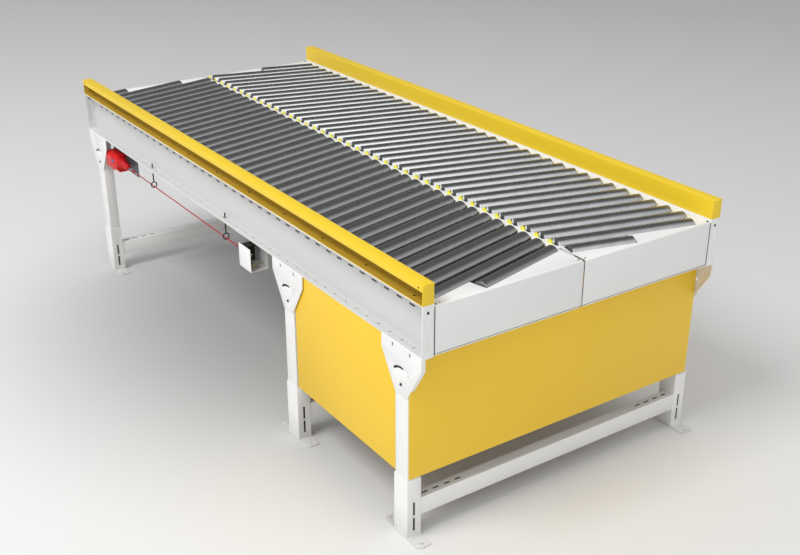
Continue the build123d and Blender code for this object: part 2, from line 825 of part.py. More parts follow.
# Gear motor: gearbox under the plate, motor along X, output shaft towards the toothed pulley
gearbox_top = rail_bottom - mount_plate_sheet
gearbox_x = -toothed_x + output_reach + gearbox_length / 2
with BuildPart() as gear_motor:
    with Locations((gearbox_x, motor_y, gearbox_top - gearbox_height / 2)):
        gearbox = Box(gearbox_length, gearbox_width, gearbox_height)
    chamfer(gearbox.edges().filter_by(Axis.X), gearbox_corner)
    with BuildSketch(Plane(origin=(gearbox_x + gearbox_length / 2, motor_y, motor_z),
                           z_dir=(1, 0, 0))):
        Circle(motor_radius)
    extrude(amount=motor_length)
    with BuildSketch(Plane(origin=(gearbox_x + gearbox_length / 2 + motor_length, motor_y, motor_z),
                           z_dir=(1, 0, 0))):
        Circle(fan_cover_radius)
    extrude(amount=fan_cover_length)
    chamfer(gear_motor.faces().sort_by(Axis.X)[-1].edges(), gearbox_corner)
save(gear_motor, "gear_motor")

# Output shaft with its toothed pulley, in front of the gearbox's face
with BuildPart() as motor_pulley:
    pulley_ring(-toothed_x, motor_y, motor_z, toothed_radius, toothed_face, output_radius)
    output_start = gearbox_x - gearbox_length / 2 - axle_end_gap
    with BuildSketch(Plane(origin=(output_start, motor_y, motor_z), z_dir=(-1, 0, 0))):
        Circle(output_radius)
    extrude(amount=output_reach + toothed_face / 2)
save(motor_pulley, "motor_pulley")

# Drive belt from the gear motor up to the drive shaft
belt_run_y = front_shaft_y - motor_y
belt_run_z = shaft_z - motor_z
belt_run = sqrt(belt_run_y ** 2 + belt_run_z ** 2)
belt_plane = Plane(origin=(-toothed_x - drive_belt_width / 2, motor_y, motor_z),
                   x_dir=(0, belt_run_y, belt_run_z), z_dir=(1, 0, 0))
with BuildPart() as drive_belt:
    with BuildSketch(belt_plane):
        with Locations((belt_run / 2, 0)):
            loop = 2 * (toothed_radius + belt_gap)
            SlotCenterToCenter(belt_run, loop + 2 * drive_belt_thickness)
            SlotCenterToCenter(belt_run, loop, mode=Mode.SUBTRACT)
    extrude(amount=drive_belt_width)
save(drive_belt, "drive_belt")

# Stop switch: housing, collar and cone in line with the rope
switch_front = switch_place - half_length
switch_outer = half_width - switch_outer_gap
switch_x = switch_outer - switch_width / 2
nose_plane = Plane(origin=(-rope_x, switch_front, rope_z), z_dir=(0, -1, 0))
with BuildPart() as switch_body:
    with BuildSketch(section_at(switch_place)):
        with Locations((-switch_x, rope_z - switch_drop)):
            block = Rectangle(switch_width, switch_height)
            chamfer(block.vertices().sort_by(Axis.X)[:2], switch_chamfer)
    extrude(amount=-switch_length)
    with BuildSketch(Plane(origin=(-rope_x, switch_front, rope_z), x_dir=(0, -1, 0),
                           z_dir=(1, 0, 0))):
        Polygon((0, 0), (0, collar_radius), (collar_length, collar_radius),
                (collar_length, cone_radius), (collar_length + cone_length, cone_tip_radius),
                (collar_length + cone_length, 0), align=None)
    revolve(axis=Axis((-rope_x, switch_front, rope_z), (0, -1, 0)))
    with BuildSketch(nose_plane.offset(collar_length + cone_length - plunger_socket)):
        Circle(plunger_radius + plunger_clearance)
    extrude(amount=plunger_socket + overrun, mode=Mode.SUBTRACT)
    with Locations((-switch_outer, switch_front + button_forward, rope_z)):
        Cylinder(button_radius + button_clearance, 2 * button_sink, rotation=(0, 90, 0),
                 mode=Mode.SUBTRACT)
save(switch_body, "stop_switch")

# Reset button in the switch's outer face
with BuildPart() as reset_button:
    with BuildSketch(Plane(origin=(-switch_outer - button_height, switch_front + button_forward,
                                   rope_z), z_dir=(1, 0, 0))):
        Circle(button_radius)
    extrude(amount=button_height + button_sink / 2)
    chamfer(reset_button.faces().sort_by(Axis.X)[0].edges(), button_edge)
save(reset_button, "reset_button")

# Switch plate: hangs the switch from the bottom flange of the side frame
plate_x = switch_outer - switch_width
with BuildPart() as switch_plate:
    plate_front = switch_front + switch_length + switch_plate_reach - switch_plate_length
    with Locations((-plate_x, plate_front, frame_bottom - switch_plate_height)):
        Box(switch_plate_sheet, switch_plate_length, switch_plate_height, align=Align.MIN)
    with Locations((-plate_x + switch_plate_sheet, plate_front, frame_bottom - switch_plate_sheet)):
        Box(switch_plate_flange, switch_flange_length, switch_plate_sheet,
            align=(Align.MAX, Align.MIN, Align.MIN))
save(switch_plate, "switch_plate")

# Plunger with the eye that the rope is tied to
plunger_out = collar_length + cone_length
eye_y = switch_front - plunger_out - plunger_reach - eye_radius
with BuildPart() as plunger:
    with BuildSketch(nose_plane.offset(plunger_out - plunger_socket + post_seat_gap)):
        Circle(plunger_radius)
    extrude(amount=plunger_socket + plunger_reach)
    with BuildSketch(Plane(origin=(-rope_x, eye_y, rope_z + eye_radius), z_dir=(0, 1, 0))):
        RegularPolygon(eye_wire, eye_wire_sides)
    revolve(axis=Axis((-rope_x, eye_y, rope_z), (1, 0, 0)))
save(plunger, "switch_plunger")

# Rope, held taut from the plunger's eye to the anchor spring
anchor_back = anchor_place + anchor_length - half_length
rope_end = anchor_back - anchor_sheet - spring_radius
with BuildPart() as rope:
    with BuildSketch(Plane(origin=(-rope_x, eye_y - eye_radius - eye_wire - hook_gap, rope_z),
                           z_dir=(0, -1, 0))):
        Circle(rope_radius)
    extrude(amount=eye_y - eye_radius - eye_wire - hook_gap - rope_end)
    with BuildSketch(Plane(origin=(-rope_x, rope_end, rope_z), z_dir=(0, 1, 0))):
        Circle(spring_radius)
    extrude(amount=ferrule_length)
save(rope, "pull_rope")

# Eyebolts under the side frame, which the rope runs through
ring_z = rope_z - rope_radius - rope_seat_gap + ring_radius - ring_wire
with BuildPart() as eyebolts:
    for place in eyebolt_places:
        bolt_y = place - half_length
        with BuildSketch(Plane(origin=(-rope_x, bolt_y, ring_z + ring_radius), z_dir=(1, 0, 0))):
            RegularPolygon(ring_wire, eye_wire_sides)
        revolve(axis=Axis((-rope_x, bolt_y, ring_z), (0, 1, 0)))
        shank_foot = ring_z + ring_radius
        with BuildSketch(Plane.XY.offset(shank_foot)):
            with Locations((-rope_x, bolt_y)):
                Circle(shank_radius)
        extrude(amount=frame_bottom + frame_sheet + shank_top - shank_foot)
        for nut_z in (frame_bottom - nut_height, frame_bottom + frame_sheet):
            with BuildSketch(Plane.XY.offset(nut_z)):
                with Locations((-rope_x, bolt_y)):
                    RegularPolygon(nut_radius, 6)
            extrude(amount=nut_height)
save(eyebolts, "eyebolts")

# Rope anchor: a folded box, open to the front, hung from the bottom flange
anchor_outer = half_width - anchor_outer_gap
anchor_top = frame_bottom - anchor_drop
anchor_bottom = anchor_top - anchor_height
anchor_y = anchor_place + anchor_length / 2 - half_length
with BuildPart() as anchor:
    with Locations((-anchor_outer + anchor_sheet / 2, anchor_y, (anchor_top + anchor_bottom) / 2)):
        Box(anchor_sheet, anchor_length, anchor_height)
    with Locations((-anchor_outer + anchor_depth / 2, anchor_y, anchor_bottom + anchor_sheet / 2)):
        Box(anchor_depth, anchor_length, anchor_sheet)
    with Locations((-anchor_outer + anchor_depth / 2, anchor_back - anchor_sheet / 2,
                    (anchor_top + anchor_bottom) / 2)):
        Box(anchor_depth, anchor_sheet, anchor_height)
    with Locations((-anchor_outer + anchor_depth - anchor_sheet / 2, anchor_y,
                    (frame_bottom + anchor_bottom) / 2)):
        Box(anchor_sheet, anchor_length, frame_bottom - anchor_bottom)
    with Locations((-anchor_outer + anchor_depth - anchor_flange / 2, anchor_y,
                    frame_bottom - anchor_sheet / 2)):
        Box(anchor_flange, anchor_length, anchor_sheet)
    with Locations((-rope_x, anchor_back, rope_z)):
        Cylinder(anchor_hole_radius, 4 * anchor_sheet, rotation=(90, 0, 0), mode=Mode.SUBTRACT)
    screw_y = rope_end - spring_length - rope_travel - 2 * hook_gap - anchor_screw_radius
    with Locations((-rope_x, screw_y, anchor_bottom)):
        Cylinder(anchor_screw_radius, 4 * anchor_sheet, mode=Mode.SUBTRACT)
save(anchor, "rope_anchor")

# Spring between the rope's end and the anchor screw: an open coil of round wire
coil_radius = spring_radius - spring_wire
coil_height = spring_length - 2 * spring_wire
coil_start = rope_end - hook_gap - spring_wire


def coil_point(turn):
    """Point on the spring's centre line, a number of turns from its start."""
    angle = 2 * pi * turn
    return Vector(-rope_x + coil_radius * cos(angle),
                  coil_start - coil_height * turn / spring_turns,
                  rope_z + coil_radius * sin(angle))


with BuildPart() as spring:
    with BuildLine() as coil:
        Polyline(*[coil_point(step / coil_steps) for step in range(spring_turns * coil_steps + 1)])
    with BuildSketch(Plane(origin=coil.line @ 0, z_dir=coil.line % 0)):
        RegularPolygon(spring_wire, spring_wire_sides)
    sweep(transition=Transition.RIGHT)
save(spring, "anchor_spring")

# The spring's wire stays clear of itself: points half a turn or more apart are compared
turn_points = [coil_point(step / points_per_turn) for step in range(spring_turns * points_per_turn + 1)]
wire_gaps = [(turn_points[near] - turn_points[far]).length - 2 * spring_wire
             for near in range(len(turn_points))
             for far in range(near + points_per_turn // 2, len(turn_points))]
print("least gap of the anchor spring to itself, mm:", round(min(wire_gaps), 2))

# Anchor screw, upright through the floor of the anchor box
with BuildPart() as screw:
    screw_bottom = anchor_bottom - anchor_screw_tail
    with BuildSketch(Plane.XY.offset(screw_bottom)):
        with Locations((-rope_x, screw_y)):
            Circle(anchor_screw_radius)
    extrude(amount=rope_z + spring_radius - screw_bottom)
    with BuildSketch(Plane.XY.offset(anchor_bottom + anchor_sheet)):
        with Locations((-rope_x, screw_y)):
            RegularPolygon(nut_radius, 6)
    extrude(amount=nut_height)
save(screw, "anchor_screw")
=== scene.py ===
# %% [markdown]
# # A two-lane roller discharge table
#
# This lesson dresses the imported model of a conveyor: a long table whose skewed rollers push goods
# outwards. The model comes in as a fixed frame. Nothing of it is moved here. Its solids get real
# finishes, and where a solid is plainer than the real thing, a finer piece takes its place.

# %% Open the frame
import math

import bmesh
import bpy
from mathutils import Matrix, Vector


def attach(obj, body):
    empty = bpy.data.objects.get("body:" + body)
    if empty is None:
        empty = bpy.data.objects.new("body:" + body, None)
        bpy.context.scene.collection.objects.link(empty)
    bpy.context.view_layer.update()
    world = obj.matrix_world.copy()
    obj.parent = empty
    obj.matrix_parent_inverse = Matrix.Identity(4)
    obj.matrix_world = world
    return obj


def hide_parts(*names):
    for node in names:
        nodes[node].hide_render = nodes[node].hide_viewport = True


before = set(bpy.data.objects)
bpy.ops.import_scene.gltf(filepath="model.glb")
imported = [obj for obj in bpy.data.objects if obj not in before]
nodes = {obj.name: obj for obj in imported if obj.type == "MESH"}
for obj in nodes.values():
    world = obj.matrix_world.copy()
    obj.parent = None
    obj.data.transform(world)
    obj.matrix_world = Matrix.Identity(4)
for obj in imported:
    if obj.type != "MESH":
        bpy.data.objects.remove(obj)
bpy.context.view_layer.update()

# %% [markdown]
# ## Colours, nodes and objects
#
# A colour on a paint card is written in sRGB, but the renderer counts light, so every colour goes
# through one function that turns it to linear values. Another small function adds a node to a
# tree, sets it and links it. Both materials and shapes use it, so each tree reads as a list. The
# last one puts a new object into the scene.

# %% Small helpers
MM = 0.001


def paint(code):
    """Linear colour of an sRGB hex value."""
    channels = [int(code[start:start + 2], 16) / 255 for start in (1, 3, 5)]
    return [c / 12.92 if c <= 0.04045 else ((c + 0.055) / 1.055) ** 2.4 for c in channels] + [1]


def plug(tree, node, values=None, links=None):
    """Set a node's sockets and link outputs to them. A node stands for its first output."""
    for socket, value in (values or {}).items():
        node.inputs[socket].default_value = value
    for socket, source in (links or {}).items():
        output = source.outputs[0] if isinstance(source, bpy.types.Node) else source
        tree.links.new(output, node.inputs[socket])
    return node


def add(tree, kind, settings=None, values=None, links=None):
    """Add a node with its properties, its values and its links."""
    node = tree.nodes.new(kind)
    for name, value in (settings or {}).items():
        setattr(node, name, value)
    return plug(tree, node, values, links)


def show(name, data):
    """New object in the scene."""
    item = bpy.data.objects.new(name, data)
    bpy.context.scene.collection.objects.link(item)
    return item


print("white of the frame in linear light:", [round(c, 3) for c in paint("#F4F4F2")])

# %% [markdown]
# ## Powder coat
#
# The frame, the guards and the skirts are folded sheet, sprayed with polyester powder and baked.
# A flat colour would look like paper. Real powder coat has three things to see: a faint
# unevenness of tone where the film is thicker, a soft orange peel in the highlights, and dust
# that settles near the floor. Each is one noise at its own real size. The peel is about 1 mm on
# the real sheet and is drawn at 3 mm here, so that it shows.

# %% Powder coat
COAT_IOR = 1.5
FILM_WAVES, DUST_SPECKS, PEEL_BUMPS = 2.2, 55, 330  # in one metre
DUST, DUST_TOP = "#8F8B84", 0.12  # its colour, and its limit in metres above the floor


def new_material(name):
    """New material, its node tree, its shader and the place of each point on its piece."""
    material = bpy.data.materials.new(name)
    material.use_nodes = True
    tree = material.node_tree
    place = add(tree, "ShaderNodeTexCoord").outputs["Object"]
    return material, tree, tree.nodes["Principled BSDF"], place


def surface(tree, shader, colour, gloss, relief, values):
    """End of every recipe: link its colour, its gloss and its relief to the shader.

    gloss is (noise, least roughness, most roughness), and relief is (noise, strength, depth)."""
    rough = add(tree, "ShaderNodeMapRange", values={"To Min": gloss[1], "To Max": gloss[2]},
                links={"Value": gloss[0]})
    bump = add(tree, "ShaderNodeBump", values={"Strength": relief[1], "Distance": relief[2]},
               links={"Height": relief[0]})
    plug(tree, shader, values, {"Base Color": colour, "Roughness": rough, "Normal": bump})


def powder_coat(name, colour, thin_colour, roughness):
    """Baked polyester powder on sheet steel."""
    material, tree, shader, place = new_material(name)
    film, specks, peel = [
        add(tree, "ShaderNodeTexNoise", values={"Scale": scale, "Detail": detail, "Roughness": mix},
            links={"Vector": place})
        for scale, detail, mix in ((FILM_WAVES, 3, 0.5), (DUST_SPECKS, 6, 0.7),
                                   (PEEL_BUMPS, 2, 0.5))]
    tone = add(tree, "ShaderNodeMix", {"data_type": "RGBA"},
               {6: paint(colour), 7: paint(thin_colour)}, {0: film})
    height = add(tree, "ShaderNodeSeparateXYZ", links={0: place}).outputs["Z"]
    low = add(tree, "ShaderNodeMapRange",
              values={"From Min": 0, "From Max": DUST_TOP, "To Min": 0.55, "To Max": 0},
              links={"Value": height})
    dusty = add(tree, "ShaderNodeMath", {"operation": "MULTIPLY"}, links={0: low, 1: specks})
    base = add(tree, "ShaderNodeMix", {"data_type": "RGBA"}, {7: paint(DUST)},
               {0: dusty, 6: tone.outputs[2]})
    surface(tree, shader, base.outputs[2], (specks, roughness - 0.06, roughness + 0.1),
            (peel, 0.12, 0.4 * MM), {"IOR": COAT_IOR})
    return material


white_coat = powder_coat("white_polyester_powder_coat", "#F1F1F0", "#EAEAE9", 0.42)
yellow_coat = powder_coat("yellow_polyester_powder_coat", "#F6CD33", "#F1C62B", 0.42)
rail_coat = powder_coat("lemon_yellow_powder_coat", "#F5D228", "#F0CC22", 0.42)
# Painted shade: darker coats for the faces inside a fold, where the fold keeps light out.
yellow_painted_shade_coat = powder_coat("yellow_coat_with_painted_shade_in_fold", "#BE9A28", "#AA8820", 0.6)
white_painted_shade_coat = powder_coat("white_coat_with_painted_shade_in_fold", "#D2D2D1", "#C8C8C7", 0.55)
grey_coat = powder_coat("dark_grey_powder_coat", "#5A5D61", "#53565A", 0.5)
motor_enamel = powder_coat("blue_grey_motor_enamel", "#56616B", "#4E5963", 0.38)
print("powder coats:", white_coat.name, yellow_coat.name, grey_coat.name, motor_enamel.name)

# %% [markdown]
# ## Roller tube
#
# The rollers are welded steel tube, turned true and zinc plated. Turning leaves fine rings round
# the tube, and goods polish them unevenly. The rings must follow each tube although the tubes lie
# askew, so the shape below stores how far along its roller every point lies, and the material
# reads that value. Real rings are 0.2 mm apart and are drawn 1.5 mm apart.

# %% Roller tube
RINGS_IN_METRE = 650

roller_steel, tree, shader, place = new_material("zinc_plated_turned_steel")
along = add(tree, "ShaderNodeAttribute", {"attribute_name": "along"}).outputs["Fac"]
xyz = add(tree, "ShaderNodeSeparateXYZ", links={0: place})
ring_step = add(tree, "ShaderNodeMath", {"operation": "MULTIPLY"}, {1: RINGS_IN_METRE}, {0: along})
drift = add(tree, "ShaderNodeMath", {"operation": "MULTIPLY"}, {1: 12}, {0: xyz.outputs["Z"]})
sweep = add(tree, "ShaderNodeMath", {"operation": "MULTIPLY"}, {1: 9}, {0: xyz.outputs["Y"]})
ring_place = add(tree, "ShaderNodeCombineXYZ", links={0: ring_step, 1: drift, 2: sweep})
rings = add(tree, "ShaderNodeTexNoise", values={"Scale": 1, "Detail": 3},
            links={"Vector": ring_place})
clouds = add(tree, "ShaderNodeTexNoise", values={"Scale": 14, "Detail": 5, "Roughness": 0.6},
             links={"Vector": place})
tone = add(tree, "ShaderNodeMix", {"data_type": "RGBA"}, {6: paint("#7E7F80"), 7: paint("#8F9091")},
           {0: clouds})
streak = add(tree, "ShaderNodeMapRange",
             values={"From Min": 0.3, "From Max": 0.7, "To Min": 0.94, "To Max": 1.04},
             links={"Value": rings})
steel_colour = add(tree, "ShaderNodeMix", {"data_type": "RGBA", "blend_type": "MULTIPLY"}, {0: 1.0},
                   {6: tone.outputs[2], 7: streak})
surface(tree, shader, steel_colour.outputs[2], (clouds, 0.18, 0.34), (rings, 0.08, 0.2 * MM),
        {"Metallic": 0.9})
print("roller finish:", roller_steel.name)

# %% [markdown]
# ## Bright and dark metal
#
# Screws, nuts and shafts are zinc plated or blackened steel. Plating shows a fine mottled grain
# and a slightly uneven gloss, so both metals share one recipe with their own colours. A ground
# shaft is brighter and smoother, black oxide is dark and satin, and cast iron under its paint is
# dull. The real grain is under 1 mm and is drawn at 5 mm. Stains are about 40 mm wide.

# %% Bright and dark metal
GRAINS, STAINS = 180, 24  # in one metre


def plated_metal(name, colour, stain, roughness, metallic=1.0):
    """Small steel or cast metal parts with a plated, blackened or cast skin."""
    material, tree, shader, place = new_material(name)
    grain, cloud = [
        add(tree, "ShaderNodeTexNoise", values={"Scale": scale, "Detail": detail},
            links={"Vector": place}) for scale, detail in ((GRAINS, 5), (STAINS, 4))]
    tone = add(tree, "ShaderNodeMix", {"data_type": "RGBA"}, {6: paint(colour), 7: paint(stain)},
               {0: cloud})
    surface(tree, shader, tone.outputs[2], (grain, roughness - 0.1, roughness + 0.12),
            (grain, 0.15, 0.2 * MM), {"Metallic": metallic})
    return material


zinc = plated_metal("zinc_plated_fastener_steel", "#B9BBBD", "#9FA2A5", 0.34)
black_steel = plated_metal("black_oxide_steel", "#3B3C3E", "#2C2D2F", 0.42)
ground_steel = plated_metal("ground_shaft_steel", "#A7A9AB", "#96989B", 0.28)
cast_iron = plated_metal("painted_cast_iron", "#787B7F", "#6B6E72", 0.55, 0.2)
print("metals:", zinc.name, black_steel.name, ground_steel.name, cast_iron.name)

# %% [markdown]
# ## Plastics and rubber
#
# The switch is moulded ABS, its boot and the rope's sheath are PVC, the belts are rubber on a
# woven core and the roller caps are acetal. A moulded skin is fine and even, with a dull bloom,
# while rubber is rough and picks up dust. The grain's size is the main thing that differs. A
# moulded grain is under 1 mm in truth and is drawn at about twice its size.

# %% Plastics and rubber
PLASTIC_IOR = 1.5
BLOOM_CLOUDS = 30  # in one metre


def moulded(name, colour, bloom, roughness, grain_size, depth=0.1 * MM):
    """Moulded plastic or rubber with a grain of the given size in metres."""
    material, tree, shader, place = new_material(name)
    skin, haze = [
        add(tree, "ShaderNodeTexNoise", values={"Scale": scale, "Detail": detail},
            links={"Vector": place})
        for scale, detail in ((1 / grain_size, 3), (BLOOM_CLOUDS, 5))]
    tone = add(tree, "ShaderNodeMix", {"data_type": "RGBA"}, {6: paint(colour), 7: paint(bloom)},
               {0: haze})
    surface(tree, shader, tone.outputs[2], (haze, roughness - 0.07, roughness + 0.1),
            (skin, 0.3, depth), {"IOR": PLASTIC_IOR})
    return material


red_abs = moulded("red_moulded_abs", "#DE0410", "#CE040E", 0.36, 1.5 * MM)
red_pvc = moulded("red_pvc_rope_sheath", "#BE0A18", "#A80814", 0.42, 2 * MM)
blue_abs = moulded("blue_moulded_abs", "#2E6FB8", "#2763A8", 0.3, 1.5 * MM)
grey_abs = moulded("light_grey_moulded_abs", "#C9CBCC", "#BDBFC0", 0.36, 1.5 * MM)
acetal = moulded("grey_acetal_cap", "#6F7173", "#616365", 0.35, 2 * MM)
# Black foam lines the rope anchor and is the painted shade inside slots and holes.
foam_lining_and_slot_shade = moulded("black_foam_lining_and_painted_slot_shade", "#2B2B2C", "#232324", 0.8, 2 * MM)
rubber = moulded("black_belt_rubber", "#26272A", "#34353A", 0.68, 3 * MM, 0.3 * MM)
lime_guard = moulded("yellow_moulded_guard", "#F6F03A", "#EEE52E", 0.36, 2 * MM)
print("plastics:", red_abs.name, red_pvc.name, blue_abs.name, grey_abs.name, acetal.name)

# %% [markdown]
# ## Finishes on the frame's own solids
#
# Where a solid is already right it only needs its finish. The table below says which finish each
# node of the frame gets. A node that a finer piece replaces later is in it too, because the finer
# piece asks here for its finish.

# %% Finishes of the nodes
COVERS = ["front_left_cover", "front_right_cover", "back_left_cover", "back_right_cover"]
BEAMS = ["front_cross_beam", "middle_cross_beam", "back_cross_beam"]
FRAMES, COMBS = ["left_side_frame", "right_side_frame"], ["left_roller_comb", "right_roller_comb"]
RAILS = ["left_guard_rail", "right_guard_rail"]
SKIRTS = ["left_skirt", "right_skirt", "front_skirt", "back_skirt"]

finishes = {
    white_coat: ["leg_sleeves", "leg_posts", "leg_brackets", "centre_beam", "cross_ties",
                 "rope_anchor"] + BEAMS + FRAMES + COMBS + COVERS,
    yellow_coat: SKIRTS,
    rail_coat: RAILS,
    grey_coat: ["switch_plate", "motor_mount", "belt_beds"],
    lime_guard: ["centre_finger_guard"],
    roller_steel: [f"{side}_roller_{index}" for side in ("left", "right") for index in range(1, 6)]
    + ["left_lane_rollers", "right_lane_rollers"],
    zinc: ["roller_axles", "anchor_spring", "switch_plunger"],
    black_steel: ["eyebolts", "anchor_screw"],
    ground_steel: ["drive_shaft", "tail_shaft", "drive_pulleys", "tail_pulleys", "motor_pulley"],
    cast_iron: ["shaft_bearings"],
    motor_enamel: ["gear_motor"],
    rubber: ["lane_belts", "drive_belt"],
    red_abs: ["stop_switch"],
    red_pvc: ["pull_rope"],
    blue_abs: ["reset_button"],
}
finish_of = {name: material for material, names in finishes.items() for name in names}
for name, node in nodes.items():
    node.data.materials.clear()
    node.data.materials.append(finish_of[name])
print("nodes with a finish:", len(finish_of))

# %% [markdown]
# ## Rollers
#
# Eighty rollers share one shape and differ in length and place, so a Geometry Nodes tree makes
# them from one point each. The point carries its roller's heading and length. The tree puts a
# short model roller on it, whose far end is then pushed out to the real length, so the ends keep
# their shape however long the tube is. The model roller is turned on a lathe in code: a tube
# with a rounded rim, a cap set back in it, and a bearing ring round the bore.

# %% Lathe
ROLLER_PITCH = 75 * MM
ROLLER_HEIGHT = 906 * MM
ROLLER_SKEW = math.radians(14)
TABLE_HALF = 1500 * MM
LANE_INNER, LANE_OUTER = 24 * MM, 597 * MM
LANE_STARTS = {"left": 214 * MM, "right": 176.5 * MM}
FRONT_MARGIN, BACK_MARGIN = 41 * MM, 48 * MM
# Radius and distance from the roller's end, in millimetres, from the tube's skin to the bore
END_PROFILE = [(30, 3), (30, 1.2), (29.7, 0.5), (29.1, 0), (28.3, 0), (28.2, 1.8), (27.3, 1.8),
               (26.7, 1.1), (16.6, 1.1), (15.8, 2.4), (11.4, 2.4), (10.9, 1.2), (7.4, 1.2),
               (6.45, 1.8)]
CAP_FROM = 6  # the first point of the profile that is cap and not tube
SEGMENTS = 32


def bridge(rings, loop=False):
    """Mesh over rings of points in metres. Its ends are joined in a loop or else capped."""
    mesh = bmesh.new()
    rings = [[mesh.verts.new(point) for point in ring] for ring in rings]
    for near, far in zip(rings, rings[1:] + (rings[:1] if loop else [])):
        for step in range(len(near)):
            after = (step + 1) % len(near)
            mesh.faces.new((near[step], near[after], far[after], far[step]))
    if not loop:
        mesh.faces.new(rings[0])
        mesh.faces.new(rings[-1])
    bmesh.ops.recalc_face_normals(mesh, faces=mesh.faces)
    return mesh


def lathe(profile, segments, loop=False):
    """Mesh turned about X from (radius, x) points in metres."""
    turns = [2 * math.pi * step / segments for step in range(segments)]
    return bridge([[(x, radius * math.cos(turn), radius * math.sin(turn)) for turn in turns]
                   for radius, x in profile], loop)


# The far end is turned 1 m away, so that the lathe can tell inside from outside.
near_end = [(radius * MM, depth * MM) for radius, depth in END_PROFILE]
far_end = [(radius, 1 - depth) for radius, depth in near_end]
shape = lathe(near_end + far_end[::-1], SEGMENTS, loop=True)
print("model roller faces:", len(shape.faces))


# %% Model roller
def mark(mesh, name, kind, values, domain="POINT"):
    """Store a named value on each point or face of a mesh."""
    field = "vector" if kind == "FLOAT_VECTOR" else "value"
    for item, value in zip(mesh.attributes.new(name, kind, domain).data, values):
        setattr(item, field, value)


# The far end comes back over the near one, and the tree pulls the marked half out again.
shape.verts.index_update()
shape.verts.ensure_lookup_table()
half = len(END_PROFILE) * SEGMENTS
cap_points = range(CAP_FROM * SEGMENTS, 2 * half - CAP_FROM * SEGMENTS)
is_cap = [all(vert.index in cap_points for vert in face.verts) for face in shape.faces]
for vert in shape.verts[half:]:
    vert.co.x -= 1
model_roller = bpy.data.objects.new("model_roller", bpy.data.meshes.new("model_roller"))
shape.to_mesh(model_roller.data)
shape.free()
mark(model_roller.data, "far_end", "FLOAT", [float(index >= half) for index in range(2 * half)])
mark(model_roller.data, "cap", "BOOLEAN", is_cap, "FACE")
print("cap faces:", sum(is_cap))


# %% Tree that makes rollers from points
def new_group(name, inputs):
    """Geometry Nodes tree with named inputs, and the outputs of its input node."""
    group = bpy.data.node_groups.new(name, "GeometryNodeTree")
    for socket, kind in inputs.items():
        group.interface.new_socket(socket, in_out="INPUT", socket_type="NodeSocket" + kind)
    group.interface.new_socket("Geometry", in_out="OUTPUT", socket_type="NodeSocketGeometry")
    return group, add(group, "NodeGroupInput").outputs


FULL_TURN = 6.28
tree, given = new_group("rollers_from_points", {
    "Geometry": "Geometry", "Roller": "Object", "Tube": "Material", "Cap": "Material",
    "Seed": "Int"})
heading, run, far = [
    add(tree, "GeometryNodeInputNamedAttribute", {"data_type": "FLOAT"}, {"Name": name})
    for name in ("heading", "run", "far_end")]
model = add(tree, "GeometryNodeObjectInfo", links={"Object": given["Roller"]})
roll = add(tree, "FunctionNodeRandomValue", {"data_type": "FLOAT"}, {3: FULL_TURN},
           {"Seed": given["Seed"]})
turn = add(tree, "ShaderNodeCombineXYZ", links={0: roll.outputs[1], 2: heading})
placed = add(tree, "GeometryNodeInstanceOnPoints",
             links={"Points": given["Geometry"], "Instance": model.outputs["Geometry"],
                    "Rotation": turn})
loose = add(tree, "GeometryNodeRealizeInstances", links={0: placed})
reach = add(tree, "ShaderNodeMath", {"operation": "MULTIPLY"}, links={0: run, 1: far})
course = add(tree, "ShaderNodeCombineXYZ", links={2: heading})
forward = add(tree, "ShaderNodeVectorRotate", {"rotation_type": "EULER_XYZ"},
              {"Vector": (1, 0, 0)}, {"Rotation": course})
push = add(tree, "ShaderNodeVectorMath", {"operation": "SCALE"}, links={0: forward, "Scale": reach})
stretched = add(tree, "GeometryNodeSetPosition", links={"Geometry": loose, "Offset": push})
measured = add(tree, "GeometryNodeStoreNamedAttribute", {"data_type": "FLOAT", "domain": "POINT"},
               {"Name": "along"}, {"Geometry": stretched, "Value": reach})
tube = add(tree, "GeometryNodeSetMaterial", links={"Geometry": measured, "Material": given["Tube"]})
cap = add(tree, "GeometryNodeInputNamedAttribute", {"data_type": "BOOLEAN"}, {"Name": "cap"})
capped = add(tree, "GeometryNodeSetMaterial",
             links={"Geometry": tube, "Selection": cap, "Material": given["Cap"]})
add(tree, "NodeGroupOutput", links={"Geometry": capped})
roller_tree = tree
print("roller tree nodes:", len(roller_tree.nodes))


# %% From live modifiers to a finished piece
def settle(piece, sharp_angle=35):
    """Turn a piece with live modifiers into a plain mesh with soft and sharp edges."""
    bpy.context.view_layer.update()
    graph = bpy.context.evaluated_depsgraph_get()
    mesh = bpy.data.meshes.new_from_object(piece.evaluated_get(graph), depsgraph=graph)
    piece.modifiers.clear()
    piece.data = mesh
    mesh.polygons.foreach_set("use_smooth", [True] * len(mesh.polygons))
    mesh.set_sharp_from_angle(angle=math.radians(sharp_angle))


def feed(piece, group, values):
    """Give a piece a Geometry Nodes tree and set its inputs by their identifiers."""
    modifier = piece.modifiers.new(group.name, "NODES")
    modifier.node_group = group
    for item in group.interface.items_tree:
        if item.in_out == "INPUT" and item.name in values:
            modifier[item.identifier] = values[item.name]


def hand_over(piece, body, node=None):
    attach(piece, body)
    if node:
        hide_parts(node)


print("longest lane roller:", round((LANE_OUTER - LANE_INNER) / math.cos(ROLLER_SKEW), 3), "m")

# %% Both lanes
ROLLER_SEED = 4
DRIVEN = 5  # rollers of each lane that turn with the drive


